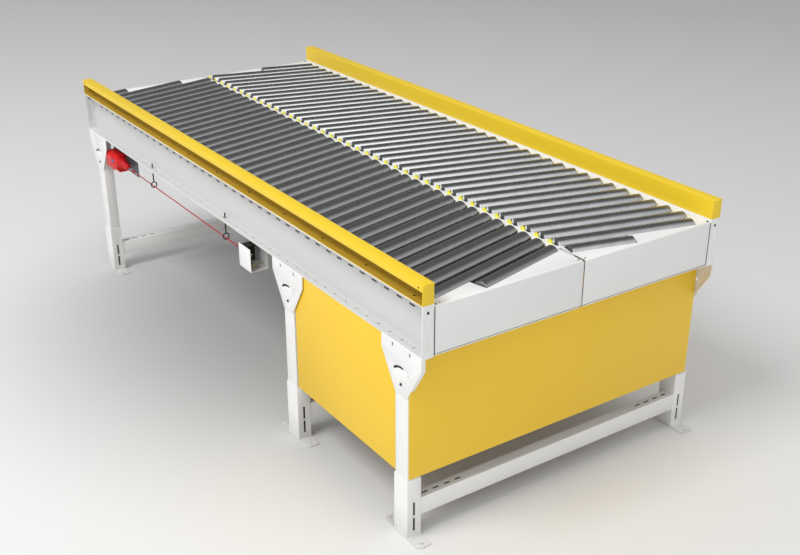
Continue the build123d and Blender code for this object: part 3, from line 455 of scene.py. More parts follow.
def lane_rollers(side):
    """Each roller of a lane as (its inner end in metres, its heading, its length)."""
    way = -1 if side == "left" else 1
    slope = math.tan(ROLLER_SKEW)
    rollers = []
    for index in range(-1, 39):
        y = LANE_STARTS[side] + index * ROLLER_PITCH
        inner, outer = LANE_INNER, LANE_OUTER
        if y - (outer - inner) * slope < FRONT_MARGIN:
            outer = inner + (y - FRONT_MARGIN) / slope
        if y > 2 * TABLE_HALF - BACK_MARGIN:
            inner = inner + (y - 2 * TABLE_HALF + BACK_MARGIN) / slope
        start = Vector((way * inner, y - (inner - LANE_INNER) * slope - TABLE_HALF, ROLLER_HEIGHT))
        heading = math.atan2(-math.sin(ROLLER_SKEW), way * math.cos(ROLLER_SKEW))
        rollers.append((start, heading, (outer - inner) / math.cos(ROLLER_SKEW)))
    return rollers


def make_rollers(node, body, rollers):
    """One piece with a roller on each point, in place of a node of the frame."""
    starts, headings, lengths = zip(*rollers)
    mesh = bpy.data.meshes.new(node + "_turned")
    mesh.from_pydata(starts, [], [])
    mark(mesh, "heading", "FLOAT", headings)
    mark(mesh, "run", "FLOAT", lengths)
    piece = show(node + "_turned", mesh)
    feed(piece, roller_tree,
         {"Roller": model_roller, "Tube": roller_steel, "Cap": acetal, "Seed": ROLLER_SEED})
    settle(piece, 25)
    hand_over(piece, body, node)
    return piece


for side in ("left", "right"):
    rollers = lane_rollers(side)
    for index in range(DRIVEN):
        name = f"{side}_roller_{index + 1}"
        make_rollers(name, name, rollers[index:index + 1])
    lane = make_rollers(f"{side}_lane_rollers", "deck", rollers[DRIVEN:])
    print(side, "lane faces:", len(lane.data.polygons))
bpy.data.objects.remove(model_roller)

# %% [markdown]
# ## Arc slots of the leg brackets
#
# Each bracket turns about a pivot bolt and is clamped through an arc slot, so that the leg can be
# set plumb. The frame's brackets are plain there. A slot is a flat arc, which is easy to write as
# a run of four-cornered sections, and a Boolean modifier cuts it out of the finer bracket below.
# Measures that many pieces share are named here too. They are in millimetres.

# %% Shared measures and the arc slots
SIDES = ENDS = (-1, 1)
LEGS = (-1387, -624, 1367)
AT_LEGS = [(side, leg) for side in SIDES for leg in LEGS]
CORNERS = [(side, end) for side in SIDES for end in ENDS]
LEG_X, LEG_WIDTH, LEG_DEPTH = 650.5, 57, 80
END_Y = 1500
BRACKET_X, BACKING_X = 678, 676.2  # outer face of a bracket, and a thin part just behind it
PIVOT_Z, ARC_STEPS = 603, 16
UP, DOWN, TO_FRONT, TO_BACK = (0, 0, 1), (0, 0, -1), (0, -1, 0), (0, 1, 0)


def arc_strip(first, last, radii, depths):
    """Flat arc about X between two angles in degrees, two radii and two depths in millimetres."""
    corners = [(depths[0], radii[0]), (depths[0], radii[1]),
               (depths[1], radii[1]), (depths[1], radii[0])]
    angles = [math.radians(first + (last - first) * step / ARC_STEPS)
              for step in range(ARC_STEPS + 1)]
    return bridge([[Vector((x, math.cos(angle) * radius, math.sin(angle) * radius)) * MM
                    for x, radius in corners] for angle in angles])


def at(x, y, z, facing=(1, 0, 0)):
    """Place in millimetres whose X axis looks along facing."""
    turn = Vector((1, 0, 0)).rotation_difference(Vector(facing)).to_matrix().to_4x4()
    return Matrix.Translation(Vector((x, y, z)) * MM) @ turn


def join(name, shapes):
    """One mesh from (shape, place, finish) rows."""
    joined = bmesh.new()
    stock = bpy.data.meshes.new("stock")
    used = []
    for shape, place, finish in shapes:
        if finish not in used:
            used.append(finish)
        for face in shape.faces:
            face.material_index = used.index(finish)
        shape.to_mesh(stock)
        stock.transform(place)
        joined.from_mesh(stock)
    mesh = bpy.data.meshes.new(name)
    joined.to_mesh(mesh)
    joined.free()
    bpy.data.meshes.remove(stock)
    for finish in used:
        mesh.materials.append(finish)
    return mesh


arc_slots = show("arc_slots", join("arc_slots", [
    (arc_strip(45, 135, (57.5, 66.5), (-4, 4)), at(side * BRACKET_X, leg, PIVOT_Z), white_coat)
    for side, leg in AT_LEGS]))
print("faces of the slots to cut:", len(arc_slots.data.polygons))

# %% [markdown]
# ## Folded sheet edges
#
# Sheet metal has no knife edges: every bend is round and every cut edge is dulled. The frame's
# solids are sharp, and a sharp edge catches no light. A copy of each solid is merged into one
# skin, its coplanar faces joined, and a Bevel modifier rounds what is left by less than the
# sheet is thick. The faces inside a fold get a duller, darker coat, which is painted shade where
# the fold keeps the light out.


# %% A softened copy of a node
def soften(node, body, width, slot, segments=2, refit=None, inside=None, cutter=None):
    """Copy of a node of the frame with edges rounded by a width in millimetres, in its place.

    refit moves a point of the copy, inside picks the faces inside a fold that get the darker coat
    of painted shade, and cutter is an object that is cut out of the copy."""
    skin = bmesh.new()
    skin.from_mesh(nodes[node].data)
    if refit:
        for vert in skin.verts:
            refit(vert.co)
    bmesh.ops.remove_doubles(skin, verts=skin.verts, dist=0.01 * MM)
    bmesh.ops.dissolve_limit(skin, angle_limit=math.radians(1), verts=skin.verts, edges=skin.edges)
    for face in skin.faces:
        face.material_index = int(bool(inside and inside(face.calc_center_median())))
    mesh = bpy.data.meshes.new(node + "_folded")
    skin.to_mesh(mesh)
    skin.free()
    mesh.materials.append(finish_of[node])
    # The second coat is the painted shade inside a fold.
    if inside:
        mesh.materials.append(yellow_painted_shade_coat if slot == "yellow_paint" else white_painted_shade_coat)
    piece = show(node + "_folded", mesh)
    if cutter:
        cut = piece.modifiers.new("cut out", "BOOLEAN")
        cut.object = cutter
        cut.solver = "EXACT"
    rounding = piece.modifiers.new("rounded edges", "BEVEL")
    rounding.width = width * MM
    rounding.segments = segments
    rounding.limit_method = "ANGLE"
    rounding.angle_limit = math.radians(40)
    settle(piece)
    hand_over(piece, body, node)


def within(x, y, z):
    """Test for points between two limits in millimetres on each axis. Left and right are alike."""
    def test(point):
        spans = ((abs(point.x), x), (point.y, y), (point.z, z))
        return all(low * MM < value < high * MM for value, (low, high) in spans)
    return test


def seam_cover(point):
    """Draw a cover in from its neighbours, so that a seam shows on both sides."""
    inner, outer = 2 * MM, 627 * MM
    seam_inner, seam_outer = 5.5 * MM, 624.8 * MM
    share = (abs(point.x) - inner) / (outer - inner)
    point.x = math.copysign(seam_inner + share * (seam_outer - seam_inner), point.x)


def short_fingers(point):
    """Cut the centre beam's fingers back to the roller ends."""
    if abs(point.x) > 40 * MM:
        point.x = math.copysign(LANE_INNER, point.x)


# Limits of the faces inside a fold, which get the darker coat of painted shade.
in_rail = within((631.5, 673.5), (-1499, 1499), (931.5, 1001.5))
in_frame = within((629.5, 674), (-1497.5, 1497.5), (747.5, 927.5))
in_anchor = within((598, 672), (-309, 0), (602, 744))
print("a point in the left rail's fold is inside:", in_rail(Vector((-0.65, 0, 0.97))))

# %% All softened nodes
# Nodes, body, width of the rounding in millimetres, slot, and what else their copies need
FOLDED = [
    (RAILS, "deck", 0.9, "yellow_paint", {"inside": in_rail}),
    (SKIRTS, "deck", 0.9, "yellow_paint", {}),
    (["leg_sleeves"] + BEAMS, "stand", 0.9, "white_paint", {}),
    (["leg_posts"] + COMBS + ["cross_ties"], "deck", 0.8, "white_paint", {}),
    (["leg_brackets"], "deck", 0.8, "white_paint", {"cutter": arc_slots}),
    (FRAMES, "deck", 0.8, "white_paint", {"inside": in_frame}),
    (["rope_anchor"], "deck", 0.8, "white_paint", {"inside": in_anchor}),
    (COVERS, "deck", 0.8, "white_paint", {"refit": seam_cover}),
    (["centre_beam"], "deck", 0.8, "white_paint", {"refit": short_fingers}),
    (["centre_finger_guard"], "deck", 0.6, "yellow_paint", {}),
    (["switch_plate", "motor_mount", "belt_beds"], "deck", 0.8, "grey_paint", {}),
    (["stop_switch"], "deck", 1.6, "red_paint", {"segments": 3}),
    (["gear_motor"], "deck", 2.5, "motor_paint", {"segments": 3}),
    (["shaft_bearings"], "deck", 1.5, "cast_grey", {}),
]
for names, body, width, slot, options in FOLDED:
    for node in names:
        soften(node, body, width, slot, **options)
bpy.data.objects.remove(arc_slots)
print("softened nodes:", sum(len(row[0]) for row in FOLDED))

# %% [markdown]
# ## Turned, bent and boxed shapes
#
# Small parts come from three kinds of shape: a profile turned on the lathe, a round wire laid
# along a path, and a box with rounded edges. `gather` joins any number of them into one piece,
# each with its own place and finish. Sizes and places are given in millimetres.


# %% Shapes of small parts
def turned(profile, segments):
    """Solid turned about X from (radius, x) points in millimetres, from one end to the other."""
    return lathe([(radius * MM, x * MM) for radius, x in profile], segments)


def wire(path, radius, sides, closed=False, lobes=0, lay=0):
    """Round wire along points in millimetres. Lobes that wind round it give it a rope's lay."""
    points = [Vector(point) * MM for point in path]
    rings = []
    run = 0
    for index, point in enumerate(points):
        before = points[index - 1] if index or closed else point
        after = points[(index + 1) % len(points)] if index + 1 < len(points) or closed else point
        ahead = (after - before).normalized()
        aside = ahead.orthogonal().normalized() if not index else aside
        aside = (aside - ahead * aside.dot(ahead)).normalized()
        above = ahead.cross(aside)
        run += (point - points[index - 1]).length if index else 0
        ring = []
        for step in range(sides):
            angle = 2 * math.pi * step / sides
            swell = radius * MM * (1 + 0.06 * math.cos(lobes * angle - lay * run) if lobes else 1)
            ring.append(point + (aside * math.cos(angle) + above * math.sin(angle)) * swell)
        rings.append(ring)
    return bridge(rings, closed)


def boxed(length, width, height, edge, segments=2):
    """Box with rounded edges, in millimetres along X, Y and Z."""
    mesh = bmesh.new()
    size = Matrix.Diagonal((length * MM, width * MM, height * MM, 1))
    bmesh.ops.create_cube(mesh, size=1, matrix=size)
    bmesh.ops.bevel(mesh, geom=mesh.edges[:], offset=edge * MM, segments=segments, profile=0.5,
                    affect="EDGES")
    return mesh


def gather(name, shapes, body, node=None, sharp_angle=35):
    """One finished piece from (shape, place, finish) rows, in place of a node if one is named."""
    piece = show(name, join(name, shapes))
    settle(piece, sharp_angle)
    hand_over(piece, body, node)
    print(name, "faces:", len(piece.data.polygons))


HEX_NUT = [(5.1, 0), (5.5, 0.4), (5.5, 4.6), (5.1, 5), (3, 5)]
print("a nut of 6 sides has", len(turned(HEX_NUT, 6).faces), "faces")

# %% [markdown]
# ## Fasteners
#
# Bolts and screws repeat all over a machine, so a second Geometry Nodes tree sets them. Each point
# carries the way its head faces and its size. The tree turns the head to that way, spins it by a
# random angle as a fitter leaves it, and scales it. Two heads are drawn: a hexagon on a washer,
# and a button head with a socket.

# %% Tree that sets fasteners on points
tree, given = new_group("fasteners_from_points", {
    "Geometry": "Geometry", "Head": "Object", "Finish": "Material", "Seed": "Int"})
facing, size = [
    add(tree, "GeometryNodeInputNamedAttribute", {"data_type": kind}, {"Name": name})
    for name, kind in (("facing", "FLOAT_VECTOR"), ("size", "FLOAT"))]
head = add(tree, "GeometryNodeObjectInfo", links={"Object": given["Head"]})
spin = add(tree, "FunctionNodeRandomValue", {"data_type": "FLOAT"}, {3: FULL_TURN},
           {"Seed": given["Seed"]})
own_turn = add(tree, "ShaderNodeCombineXYZ", links={0: spin.outputs[1]})
look = add(tree, "FunctionNodeAlignRotationToVector", {"axis": "X"}, links={"Vector": facing})
aim = add(tree, "FunctionNodeRotateRotation", {"rotation_space": "LOCAL"},
          links={0: look, 1: own_turn})
set_heads = add(tree, "GeometryNodeInstanceOnPoints",
                links={"Points": given["Geometry"], "Instance": head.outputs["Geometry"],
                       "Rotation": aim, "Scale": size})
loose = add(tree, "GeometryNodeRealizeInstances", links={0: set_heads})
coated = add(tree, "GeometryNodeSetMaterial",
             links={"Geometry": loose, "Material": given["Finish"]})
add(tree, "NodeGroupOutput", links={"Geometry": coated})
screw_tree = tree
print("fastener tree nodes:", len(screw_tree.nodes))

# %% Two heads, and a function that sets them
SCREW_SEED = 11
WASHER = [(8.4, 0), (8.4, 1.4), (8.1, 1.6), (4, 1.6)]
HEXAGON = [(6.9, 1.6), (7.3, 2), (7.3, 6.2), (6.5, 6.9), (2, 6.9)]
BUTTON = [(5, 0), (5, 0.6), (4.6, 1.5), (3.7, 2.3), (2.5, 2.7), (2.4, 2.7), (2.2, 1), (0.4, 0.8)]
hexagon = bpy.data.objects.new("hexagon_head", join("hexagon_head", [
    (turned(WASHER, 20), Matrix(), zinc), (turned(HEXAGON, 6), Matrix(), zinc)]))
button = bpy.data.objects.new("button_head", join("button_head", [
    (turned(BUTTON, 16), Matrix(), black_steel)]))


def set_screws(name, head, finish, body, rows):
    """One piece with a head on each (x, y, z, facing, size) row, in millimetres."""
    mesh = bpy.data.meshes.new(name)
    mesh.from_pydata([Vector(row[:3]) * MM for row in rows], [], [])
    mark(mesh, "facing", "FLOAT_VECTOR", [row[3] for row in rows])
    mark(mesh, "size", "FLOAT", [row[4] for row in rows])
    piece = show(name, mesh)
    feed(piece, screw_tree, {"Head": head, "Finish": finish, "Seed": SCREW_SEED})
    settle(piece, 30)
    hand_over(piece, body)
    print(name, "set:", len(rows), "faces:", len(piece.data.polygons))


print("hexagon faces:", len(hexagon.data.polygons), "button faces:", len(button.data.polygons))

# %% Fasteners of the stand and the deck
SPLICE_X, SPLICE_TOP_Z, SPLICE_LOW_Z = 652.5, 903, 778
RAIL_X, RAIL_END_Y, RAIL_TOP_Z = 675, 1478, 989
LIP_X, LIP_Z, LIP_STEP, LIP_SCREWS = 650, 932.5, 284, 11
COVER_TOP_Z = 921.6
BEARING_X, BEARING_Y, BEARING_Z, BEARING_BOLT = 617, 1395, 832.4, 26

set_screws("leg_height_bolts", hexagon, zinc, "stand",
           [(side * LEG_X, leg + LEG_DEPTH / 2, z, TO_BACK, 0.95)
            for side, leg in AT_LEGS for z in (46, 122)])
set_screws("bracket_bolts", hexagon, black_steel, "deck",
           [(side * BRACKET_X, leg, PIVOT_Z, (side, 0, 0), 0.62) for side, leg in AT_LEGS])
set_screws("splice_bolts", button, black_steel, "deck",
           [(side * SPLICE_X, end * (END_Y - 1), SPLICE_TOP_Z, (0, end, 0), 0.95)
            for side, end in CORNERS])
set_screws("lower_splice_bolts", button, white_coat, "deck",
           [(side * SPLICE_X, end * (END_Y - 1), SPLICE_LOW_Z, (0, end, 0), 1.05)
            for side, end in CORNERS])
set_screws("rail_screws", button, black_steel, "deck",
           [(side * RAIL_X, end * RAIL_END_Y, RAIL_TOP_Z, (side, 0, 0), 0.6)
            for side, end in CORNERS]
           + [(side * LIP_X, LIP_STEP * (step - LIP_SCREWS // 2), LIP_Z, UP, 0.8)
              for side in SIDES for step in range(LIP_SCREWS)])
set_screws("cover_screws", button, black_steel, "deck",
           [(side * 15, end * (END_Y - 14), COVER_TOP_Z, UP, 0.72) for side, end in CORNERS]
           + [(side * 619, end * (END_Y - 10), COVER_TOP_Z, UP, 1) for side, end in CORNERS])
set_screws("bearing_bolts", hexagon, zinc, "deck",
           [(side * BEARING_X, end * BEARING_Y + y, BEARING_Z + z, (-side, 0, 0), 0.75)
            for side, end in CORNERS for y in (-BEARING_BOLT, BEARING_BOLT)
            for z in (-BEARING_BOLT, BEARING_BOLT)])
bpy.data.objects.remove(hexagon)
bpy.data.objects.remove(button)

# %% [markdown]
# ## Legs
#
# The sleeves are welded to their foot plates and to the cross beams. A weld bead is a row of
# overlapping scales, so it is laid as a wire whose height steps a little along its way. Through
# each bracket's arc slot shows a thin black arc just behind it, which is painted shade in the slot.

# %% Weld beads and painted shade in the arc slots
FOOT_TOP, BEAM_BOTTOM, BEAM_TOP = 4.6, 82, 152
BEAM_INSET, BEAM_WIDTH = 37, 44
BEAD_STEP, BEAD_SCALE = 3, 0.35
FOOT_BEAD, BEAM_BEAD = 1.9, 1.7  # radii


def bead(path, radius):
    """Weld bead along straight runs between points in millimetres."""
    points = []
    for start, stop in zip(path, path[1:]):
        start, stop = Vector(start), Vector(stop)
        count = max(1, round((stop - start).length / BEAD_STEP))
        points += [start.lerp(stop, index / count) for index in range(count)]
    points.append(Vector(path[-1]))
    scales = [point + Vector((0, 0, BEAD_SCALE * (index % 2)))
              for index, point in enumerate(points)]
    return wire(scales, radius, 6), Matrix(), white_coat


beads = []
for side, leg in AT_LEGS:
    x0, x1 = side * LEG_X - LEG_WIDTH / 2, side * LEG_X + LEG_WIDTH / 2
    y0, y1 = leg - LEG_DEPTH / 2, leg + LEG_DEPTH / 2
    round_foot = [(x0, y0), (x1, y0), (x1, y1), (x0, y1), (x0, y0)]
    beads.append(bead([(x, y, FOOT_TOP) for x, y in round_foot], FOOT_BEAD))
    beam_x, beam_y = side * (LEG_X - LEG_WIDTH / 2), leg - BEAM_INSET
    up = [(beam_x, beam_y - 0.3, z) for z in (BEAM_BOTTOM, BEAM_TOP)]
    across = [(beam_x, y, BEAM_TOP + 0.3) for y in (beam_y, beam_y + BEAM_WIDTH)]
    beads += [bead(path, BEAM_BEAD) for path in (up, across)]
gather("weld_beads", beads, "stand")
# Painted shade: a thin black arc just behind each bracket's arc slot.
gather("slide_washers",
       [(arc_strip(46, 98, (57.6, 66.4), (-0.3, 0.3)), at(side * BACKING_X, leg, PIVOT_Z),
         black_steel) for side, leg in AT_LEGS], "deck")

# %% [markdown]
# ## Painted shade in slots, and strips in joints
#
# Thin black foam blocks just inside the slots and holes of the folded sheet are painted shade:
# without them one would look through a slot at bright paint. Thin strips of the same foam fill the
# joints beside and below the end covers. Each block is thin, with hardly any edge.

# %% Painted shade in slots, and strips in joints
SLOT_X, SLOT_Z, CLAMP_Z = 626.6, 878, 732
COVER_X, COVER_EDGE_X, COVER_Z, COVER_FOOT_Z = 313.5, 627.4, 833, 750
HOLE_X, HOLE_Z, HOLE_STEP, HOLES = 652, 745.9, 70, 41
SLEEVE_SKIN, SLEEVE_SLOTS = 37.9, (54, 118)
BEAM_SLOT_X, BEAM_SLOT_STEP, BEAM_SLOT_Y, BEAM_SLOT_Z = 588, 48, 13.5, 148.6


def slot_shade_and_joint_foam(size, edge, places):
    """Black foam blocks of one size at places in millimetres, as painted shade or joint strips."""
    return [(boxed(*size, edge, 1), at(*place), foam_lining_and_slot_shade) for place in places]


# Painted shade in the frame slots, clamp slots and flange holes, and strips in the cover joints.
slot_rows = slot_shade_and_joint_foam((0.5, 2960, 14), 0.15, [(side * SLOT_X, 0, SLOT_Z) for side in SIDES])
clamp_slots = slot_shade_and_joint_foam((0.6, 14, 20), 0.2, [(side * BACKING_X, leg + y, CLAMP_Z)
                                        for side, leg in AT_LEGS for y in (-50, 50)])
cover_sides = slot_shade_and_joint_foam((3.4, 0.6, 172), 0.15, [(side * COVER_EDGE_X, end * (END_Y + 0.05), COVER_Z)
                                           for side, end in CORNERS])
cover_feet = slot_shade_and_joint_foam((622, 0.4, 2.2), 0.12, [(side * COVER_X, end * END_Y, COVER_FOOT_Z)
                                          for side, end in CORNERS])
flange_holes = slot_shade_and_joint_foam((6.8, 6.8, 0.5), 0.1, [(side * HOLE_X, HOLE_STEP * (step - HOLES // 2) - 25,
                                            HOLE_Z) for side in SIDES for step in range(HOLES)])
gather("slot_seals", slot_rows + clamp_slots + cover_sides + cover_feet + flange_holes,
       "deck")
# Painted shade in the slots of the sleeves and the cross beams.
sleeve_slots = slot_shade_and_joint_foam((8.6, 0.5, 54), 0.15, [(side * LEG_X, leg - SLEEVE_SKIN, z)
                                           for side, leg in AT_LEGS for z in SLEEVE_SLOTS])
beam_slots = slot_shade_and_joint_foam((29, 12, 0.5), 0.15,
                  [(side * (BEAM_SLOT_X - BEAM_SLOT_STEP * step), leg - BEAM_SLOT_Y, BEAM_SLOT_Z)
                   for side, leg in AT_LEGS for step in range(4)])
gather("stand_slot_seals", sleeve_slots + beam_slots, "stand")

# %% [markdown]
# ## Painted glint tabs and joint strips in the middle
#
# Behind each tooth of the finger guard a small white tab stands up, bent to a point. It is a
# painted highlight that stands for the glint on the rounded end of the roller behind it. Four sides
# on the lathe give it flat faces. It stands at the inner end of each full roller of the right
# lane, so its place is read from the rollers. A white strip closes the gap between two covers.

# %% Painted glint tabs and joint strips in the middle
COVER_DEPTH = 130
FULL_START = 30 * MM  # a roller that is cut short starts further out than this
# Painted highlight: each white tab stands for the glint on the rounded end of a right-lane roller.
TAB_X, TAB_Z = 16, 921
TAB = [(6.6, 0), (6.6, 5), (2, 15), (1, 15.4)]
glint_tab_rows = [start.y / MM + 2 for start, heading, length in lane_rollers("right")
            if start.x < FULL_START and start.y > COVER_DEPTH * MM - TABLE_HALF]
gather("guard_tabs", [(turned(TAB, 4), at(TAB_X, y, TAB_Z, UP), white_coat) for y in glint_tab_rows],
       "deck")
gather("cover_joint_strips",
       [(boxed(5, 1.2, 166, 0.4), at(0, end * (END_Y - 3.5), COVER_Z), white_coat)
        for end in ENDS], "deck")

# %% [markdown]
# ## Inside of the rope anchor
#
# The white box that holds the rope's spring is open to the front. Inside are a dark lining, a
# pale side wall, a black hand nut under a shelf, and the nut and strip that hold the anchor
# screw. They are plain bought parts, so boxes and turned profiles are enough.

# %% Inside of the rope anchor
ROPE_X, ROPE_Z = -652, 658
ANCHOR_X, ANCHOR_SCREW_Y = -634, -275.1
HAND_NUT = [(12, 0), (14, 1), (14, 5), (12, 6), (9, 7), (9, 15), (7, 16)]
SEAT_NUT = [(7.5, 0), (8, 0.6), (8, 2.4), (7.4, 3), (4, 3.2)]
gather("anchor_inside", [
    (boxed(58, 3, 84, 1), at(ANCHOR_X, -214.5, 650), foam_lining_and_slot_shade),
    (boxed(2, 84, 88, 0.8), at(-600.4, -258, 652), grey_abs),
    (boxed(44, 30, 5, 1.2), at(ANCHOR_X, -240, 690), foam_lining_and_slot_shade),
    (turned(HAND_NUT, 28), at(ANCHOR_X + 6, -236, 686, DOWN), black_steel),
    (turned(SEAT_NUT, 24), at(ROPE_X, ANCHOR_SCREW_Y, 664, UP), zinc),
    (boxed(36, 4, 10, 1.2), at(ANCHOR_X - 2, -284, 618), zinc)], "deck")

# %% [markdown]
# ## Stop switch
#
# The pull-rope switch has a moulded housing with a lid, a ribbed collar, and a rubber boot that
# folds when the rope is pulled. The blue button resets it. Collar, boot and button are turned
# profiles that repeat along the rope's line.

# %% Collar, boot, gland, lid and button
RIB = [(24.6, 0), (25, 0.6), (25, 2.4), (24.6, 3), (23, 3)]
RIBS, RIB_Y, RIB_STEP = 6, 1137, 7
FOLD = [(19.5, 0), (21.2, 2.2), (21.2, 3.2), (19.2, 5.2)]
FOLDS, FOLD_Y, FOLD_STEP, FOLD_TAPER = 6, 1094, 9.6, 1.25
GLAND = [(8, 0), (11, 0), (11, 4), (10, 5), (10, 13), (8.5, 15), (5.5, 16), (4.5, 22)]
BUTTON_CAP = [(9, 0), (9, 4.2), (8.7, 4.8), (8, 5), (7.2, 4.6), (1, 4.3)]
BUTTON_STEM = [(8.9, -4), (8.9, 0.2), (8, 0.3)]
ribs = [(turned(RIB, 32), at(ROPE_X, RIB_Y - RIB_STEP * step, ROPE_Z, TO_FRONT), red_abs)
        for step in range(RIBS)]
folds = [(turned([(radius - FOLD_TAPER * step, x) for radius, x in FOLD], 32),
          at(ROPE_X, FOLD_Y - FOLD_STEP * step, ROPE_Z, TO_FRONT), red_pvc)
         for step in range(FOLDS)]
gland = [(turned(GLAND, 24), at(-648, 1275, 648, TO_BACK), grey_abs)]
lid = [(boxed(2.4, 112, 62, 1.1), at(-674.4, 1219, 642), red_abs)]
gather("switch_collar_and_boot", ribs + folds + gland + lid, "deck")
gather("reset_cap", [(turned(profile, 28), at(-674, 1182, ROPE_Z, (-1, 0, 0)), blue_abs)
                     for profile in (BUTTON_CAP, BUTTON_STEM)],
       "reset_button", "reset_button")

# %% [markdown]
# ## Rope, spring and eyebolts
#
# The rope is steel wire in a red sheath that shows its lay. It ends in a loop round the switch's
# eye, held by a crimped sleeve, and hangs on the spring at the other end. The spring's long hook
# lets it go slack when the rope is pulled. The eyebolts are bent rod, smooth all the way round.
# Each is a wire along points that a formula gives, so a bend has as many points as it needs.


# %% Rope with its loop, sleeve and ferrule
def beside_rope(rows):
    """Points from (x, y, z) rows, where x and z are counted from the rope's axis."""
    return [(ROPE_X + x, y, ROPE_Z + z) for x, y, z in rows]


def arc(centre_y, radius, steps, way=1):
    """Half a circle beside the rope from one side of it to the other, as rows."""
    turns = [math.pi * step / steps for step in range(steps + 1)]
    return [(-way * radius * math.cos(turn), centre_y + way * radius * math.sin(turn), 0)
            for turn in turns]


ROPE_RADIUS, ROPE_LOBES, ROPE_LAY = 2.45, 5, 700
RING = [(math.cos(2 * math.pi * step / 40), math.sin(2 * math.pi * step / 40))
        for step in range(40)]
CRIMP = [(4.4, 0), (5.4, 1), (5.4, 9), (4.8, 10), (4.8, 13), (5.4, 14), (5.4, 23), (4.4, 24)]
FERRULE = [(6.2, 0), (7, 0.5), (7, 2.6), (6.4, 3), (4, 3.2), (3.2, 15), (2.7, 16)]
ROPE_START, ROPE_STEP, ROPE_POINTS = -216, 4, 287
LOOP_Y, LOOP_RADIUS = 984, 5.3
straight = [(0, ROPE_START + step * ROPE_STEP, 0) for step in range(ROPE_POINTS)]
outward = [(-1.2, 942, 0), (-3.4, 955, 0), (-LOOP_RADIUS, 968, 0)]
homeward = [(LOOP_RADIUS, 968, 0), (4.2, 955, 0), (3.4, 944, 0), (3.2, 922, 0)]
path = beside_rope(straight + outward + arc(LOOP_Y, LOOP_RADIUS, 12) + homeward)
gather("sheathed_rope", [
    (wire(path, ROPE_RADIUS, 10, lobes=ROPE_LOBES, lay=ROPE_LAY), Matrix(), red_pvc),
    (turned(CRIMP, 20), at(ROPE_X + 0.8, 920, ROPE_Z, TO_BACK), zinc),
    (turned(FERRULE, 24), at(ROPE_X, -219.5, ROPE_Z, TO_BACK), zinc)],
       "rope", "pull_rope", 50)

# %% Plunger with its eye, and the spring
PLUNGER = [(4.9, -29.7), (4.9, 26), (4.2, 27.5), (3, 28.5)]
EYE_Y, EYE_RADIUS, ROD_RADIUS = 993, 9, 2.45
COIL_RADIUS, COIL_START, COIL_LENGTH, COIL_STEPS = 6, -221.2, 41.2, 144
STEPS_IN_TURN = 24
HOOK_Y, HOOK_RADIUS, SPRING_WIRE = -275, 4.4, 0.95
eye_ring = beside_rope([(0, EYE_Y + EYE_RADIUS * c, EYE_RADIUS * s) for c, s in RING])
gather("plunger_with_eye", [
    (wire(eye_ring, ROD_RADIUS, 14, closed=True), Matrix(), zinc),
    (turned(PLUNGER, 24), at(ROPE_X, 1030, ROPE_Z, TO_FRONT), zinc)],
       "rope", "switch_plunger")
coil = [(COIL_RADIUS * math.cos(2 * math.pi * step / STEPS_IN_TURN),
         COIL_START - COIL_LENGTH * step / COIL_STEPS,
         COIL_RADIUS * math.sin(2 * math.pi * step / STEPS_IN_TURN))
        for step in range(COIL_STEPS + 1)]
hook = [(5.5, -264, 0.4), (4.6, -268, 0)] + arc(HOOK_Y, HOOK_RADIUS, 10, -1)
hook += [(-4.5, -270, 0), (-4.8, -266, 0)]
gather("coiled_spring", [(wire(beside_rope(coil + hook), SPRING_WIRE, 10), Matrix(), zinc)],
       "rope", "anchor_spring", 60)

# %% Eyebolts and the anchor screw
EYEBOLTS = (-49, 714)
EYELET_RADIUS, EYELET_Z, SHANK_Z = 13.5, 666.2, 679.3
SHANK = [(2.9, 0), (2.9, 90.4), (2.3, 91)]
SMALL_WASHER = [(7, 0), (7, 0.9), (3, 0.9)]
NUT_ON_WASHER = [(5.1, 0.9), (5.5, 1.3), (5.5, 4.5), (5.1, 5), (3, 5)]
bolts = []
for y in EYEBOLTS:
    ring = [(ROPE_X + EYELET_RADIUS * c, y, EYELET_Z + EYELET_RADIUS * s) for c, s in RING]
    bolts.append((wire(ring, ROD_RADIUS, 14, closed=True), Matrix(), black_steel))
    bolts.append((turned(SHANK, 20), at(ROPE_X, y, SHANK_Z, UP), black_steel))
    for z, facing in ((745, DOWN), (748, UP)):
        bolts += [(turned(profile, sides), at(ROPE_X, y, z, facing), zinc)
                  for profile, sides in ((SMALL_WASHER, 20), (NUT_ON_WASHER, 6))]
gather("smooth_eyebolts", bolts, "deck", "eyebolts")
THREAD_TOP, THREAD_ROOT, THREAD_STEP = 2.95, 2.5, 0.7
thread = [(THREAD_TOP if step % 2 else THREAD_ROOT, step * THREAD_STEP) for step in range(112)]
gather("threaded_anchor_screw", [
    (turned(thread, 18), at(ROPE_X, ANCHOR_SCREW_Y, 586.2, UP), black_steel),
    (turned(HEX_NUT, 6), at(ROPE_X, ANCHOR_SCREW_Y, 602.5, UP), zinc)],
       "deck", "anchor_screw")

# %% [markdown]
# ## Drive
#
# The gear motor's barrel has cooling fins and a terminal box, and its belt runs on toothed
# pulleys between two flanges. They sit inside the skirts and are seen only from below.

# %% Motor fins and belt pulley
MOTOR_Y, MOTOR_Z = -1010, 623
FINS, FIN_RADIUS = 28, 68.5
PULLEY_X, PULLEY_WIDTH = -150, 30
CABLE_GLAND = [(11, 0), (11, 12), (8, 18), (6, 24)]
FLANGE = [(38.5, 0), (38.5, 1.4), (20, 1.5)]
HUB = [(11.95, 0), (11.95, 62), (11.4, 62.8)]


def toothed(radius, teeth, depth, width):
    """Toothed ring along X, in millimetres, with straight-sided teeth."""
    outline = [(2 * math.pi * (step + part) / teeth, reach) for step in range(teeth)
               for part, reach in ((0.08, radius - depth), (0.42, radius - depth),
                                   (0.55, radius), (0.95, radius))]
    return bridge([[Vector((x, reach * math.cos(angle), reach * math.sin(angle))) * MM
                    for angle, reach in outline] for x in (-width / 2, width / 2)])


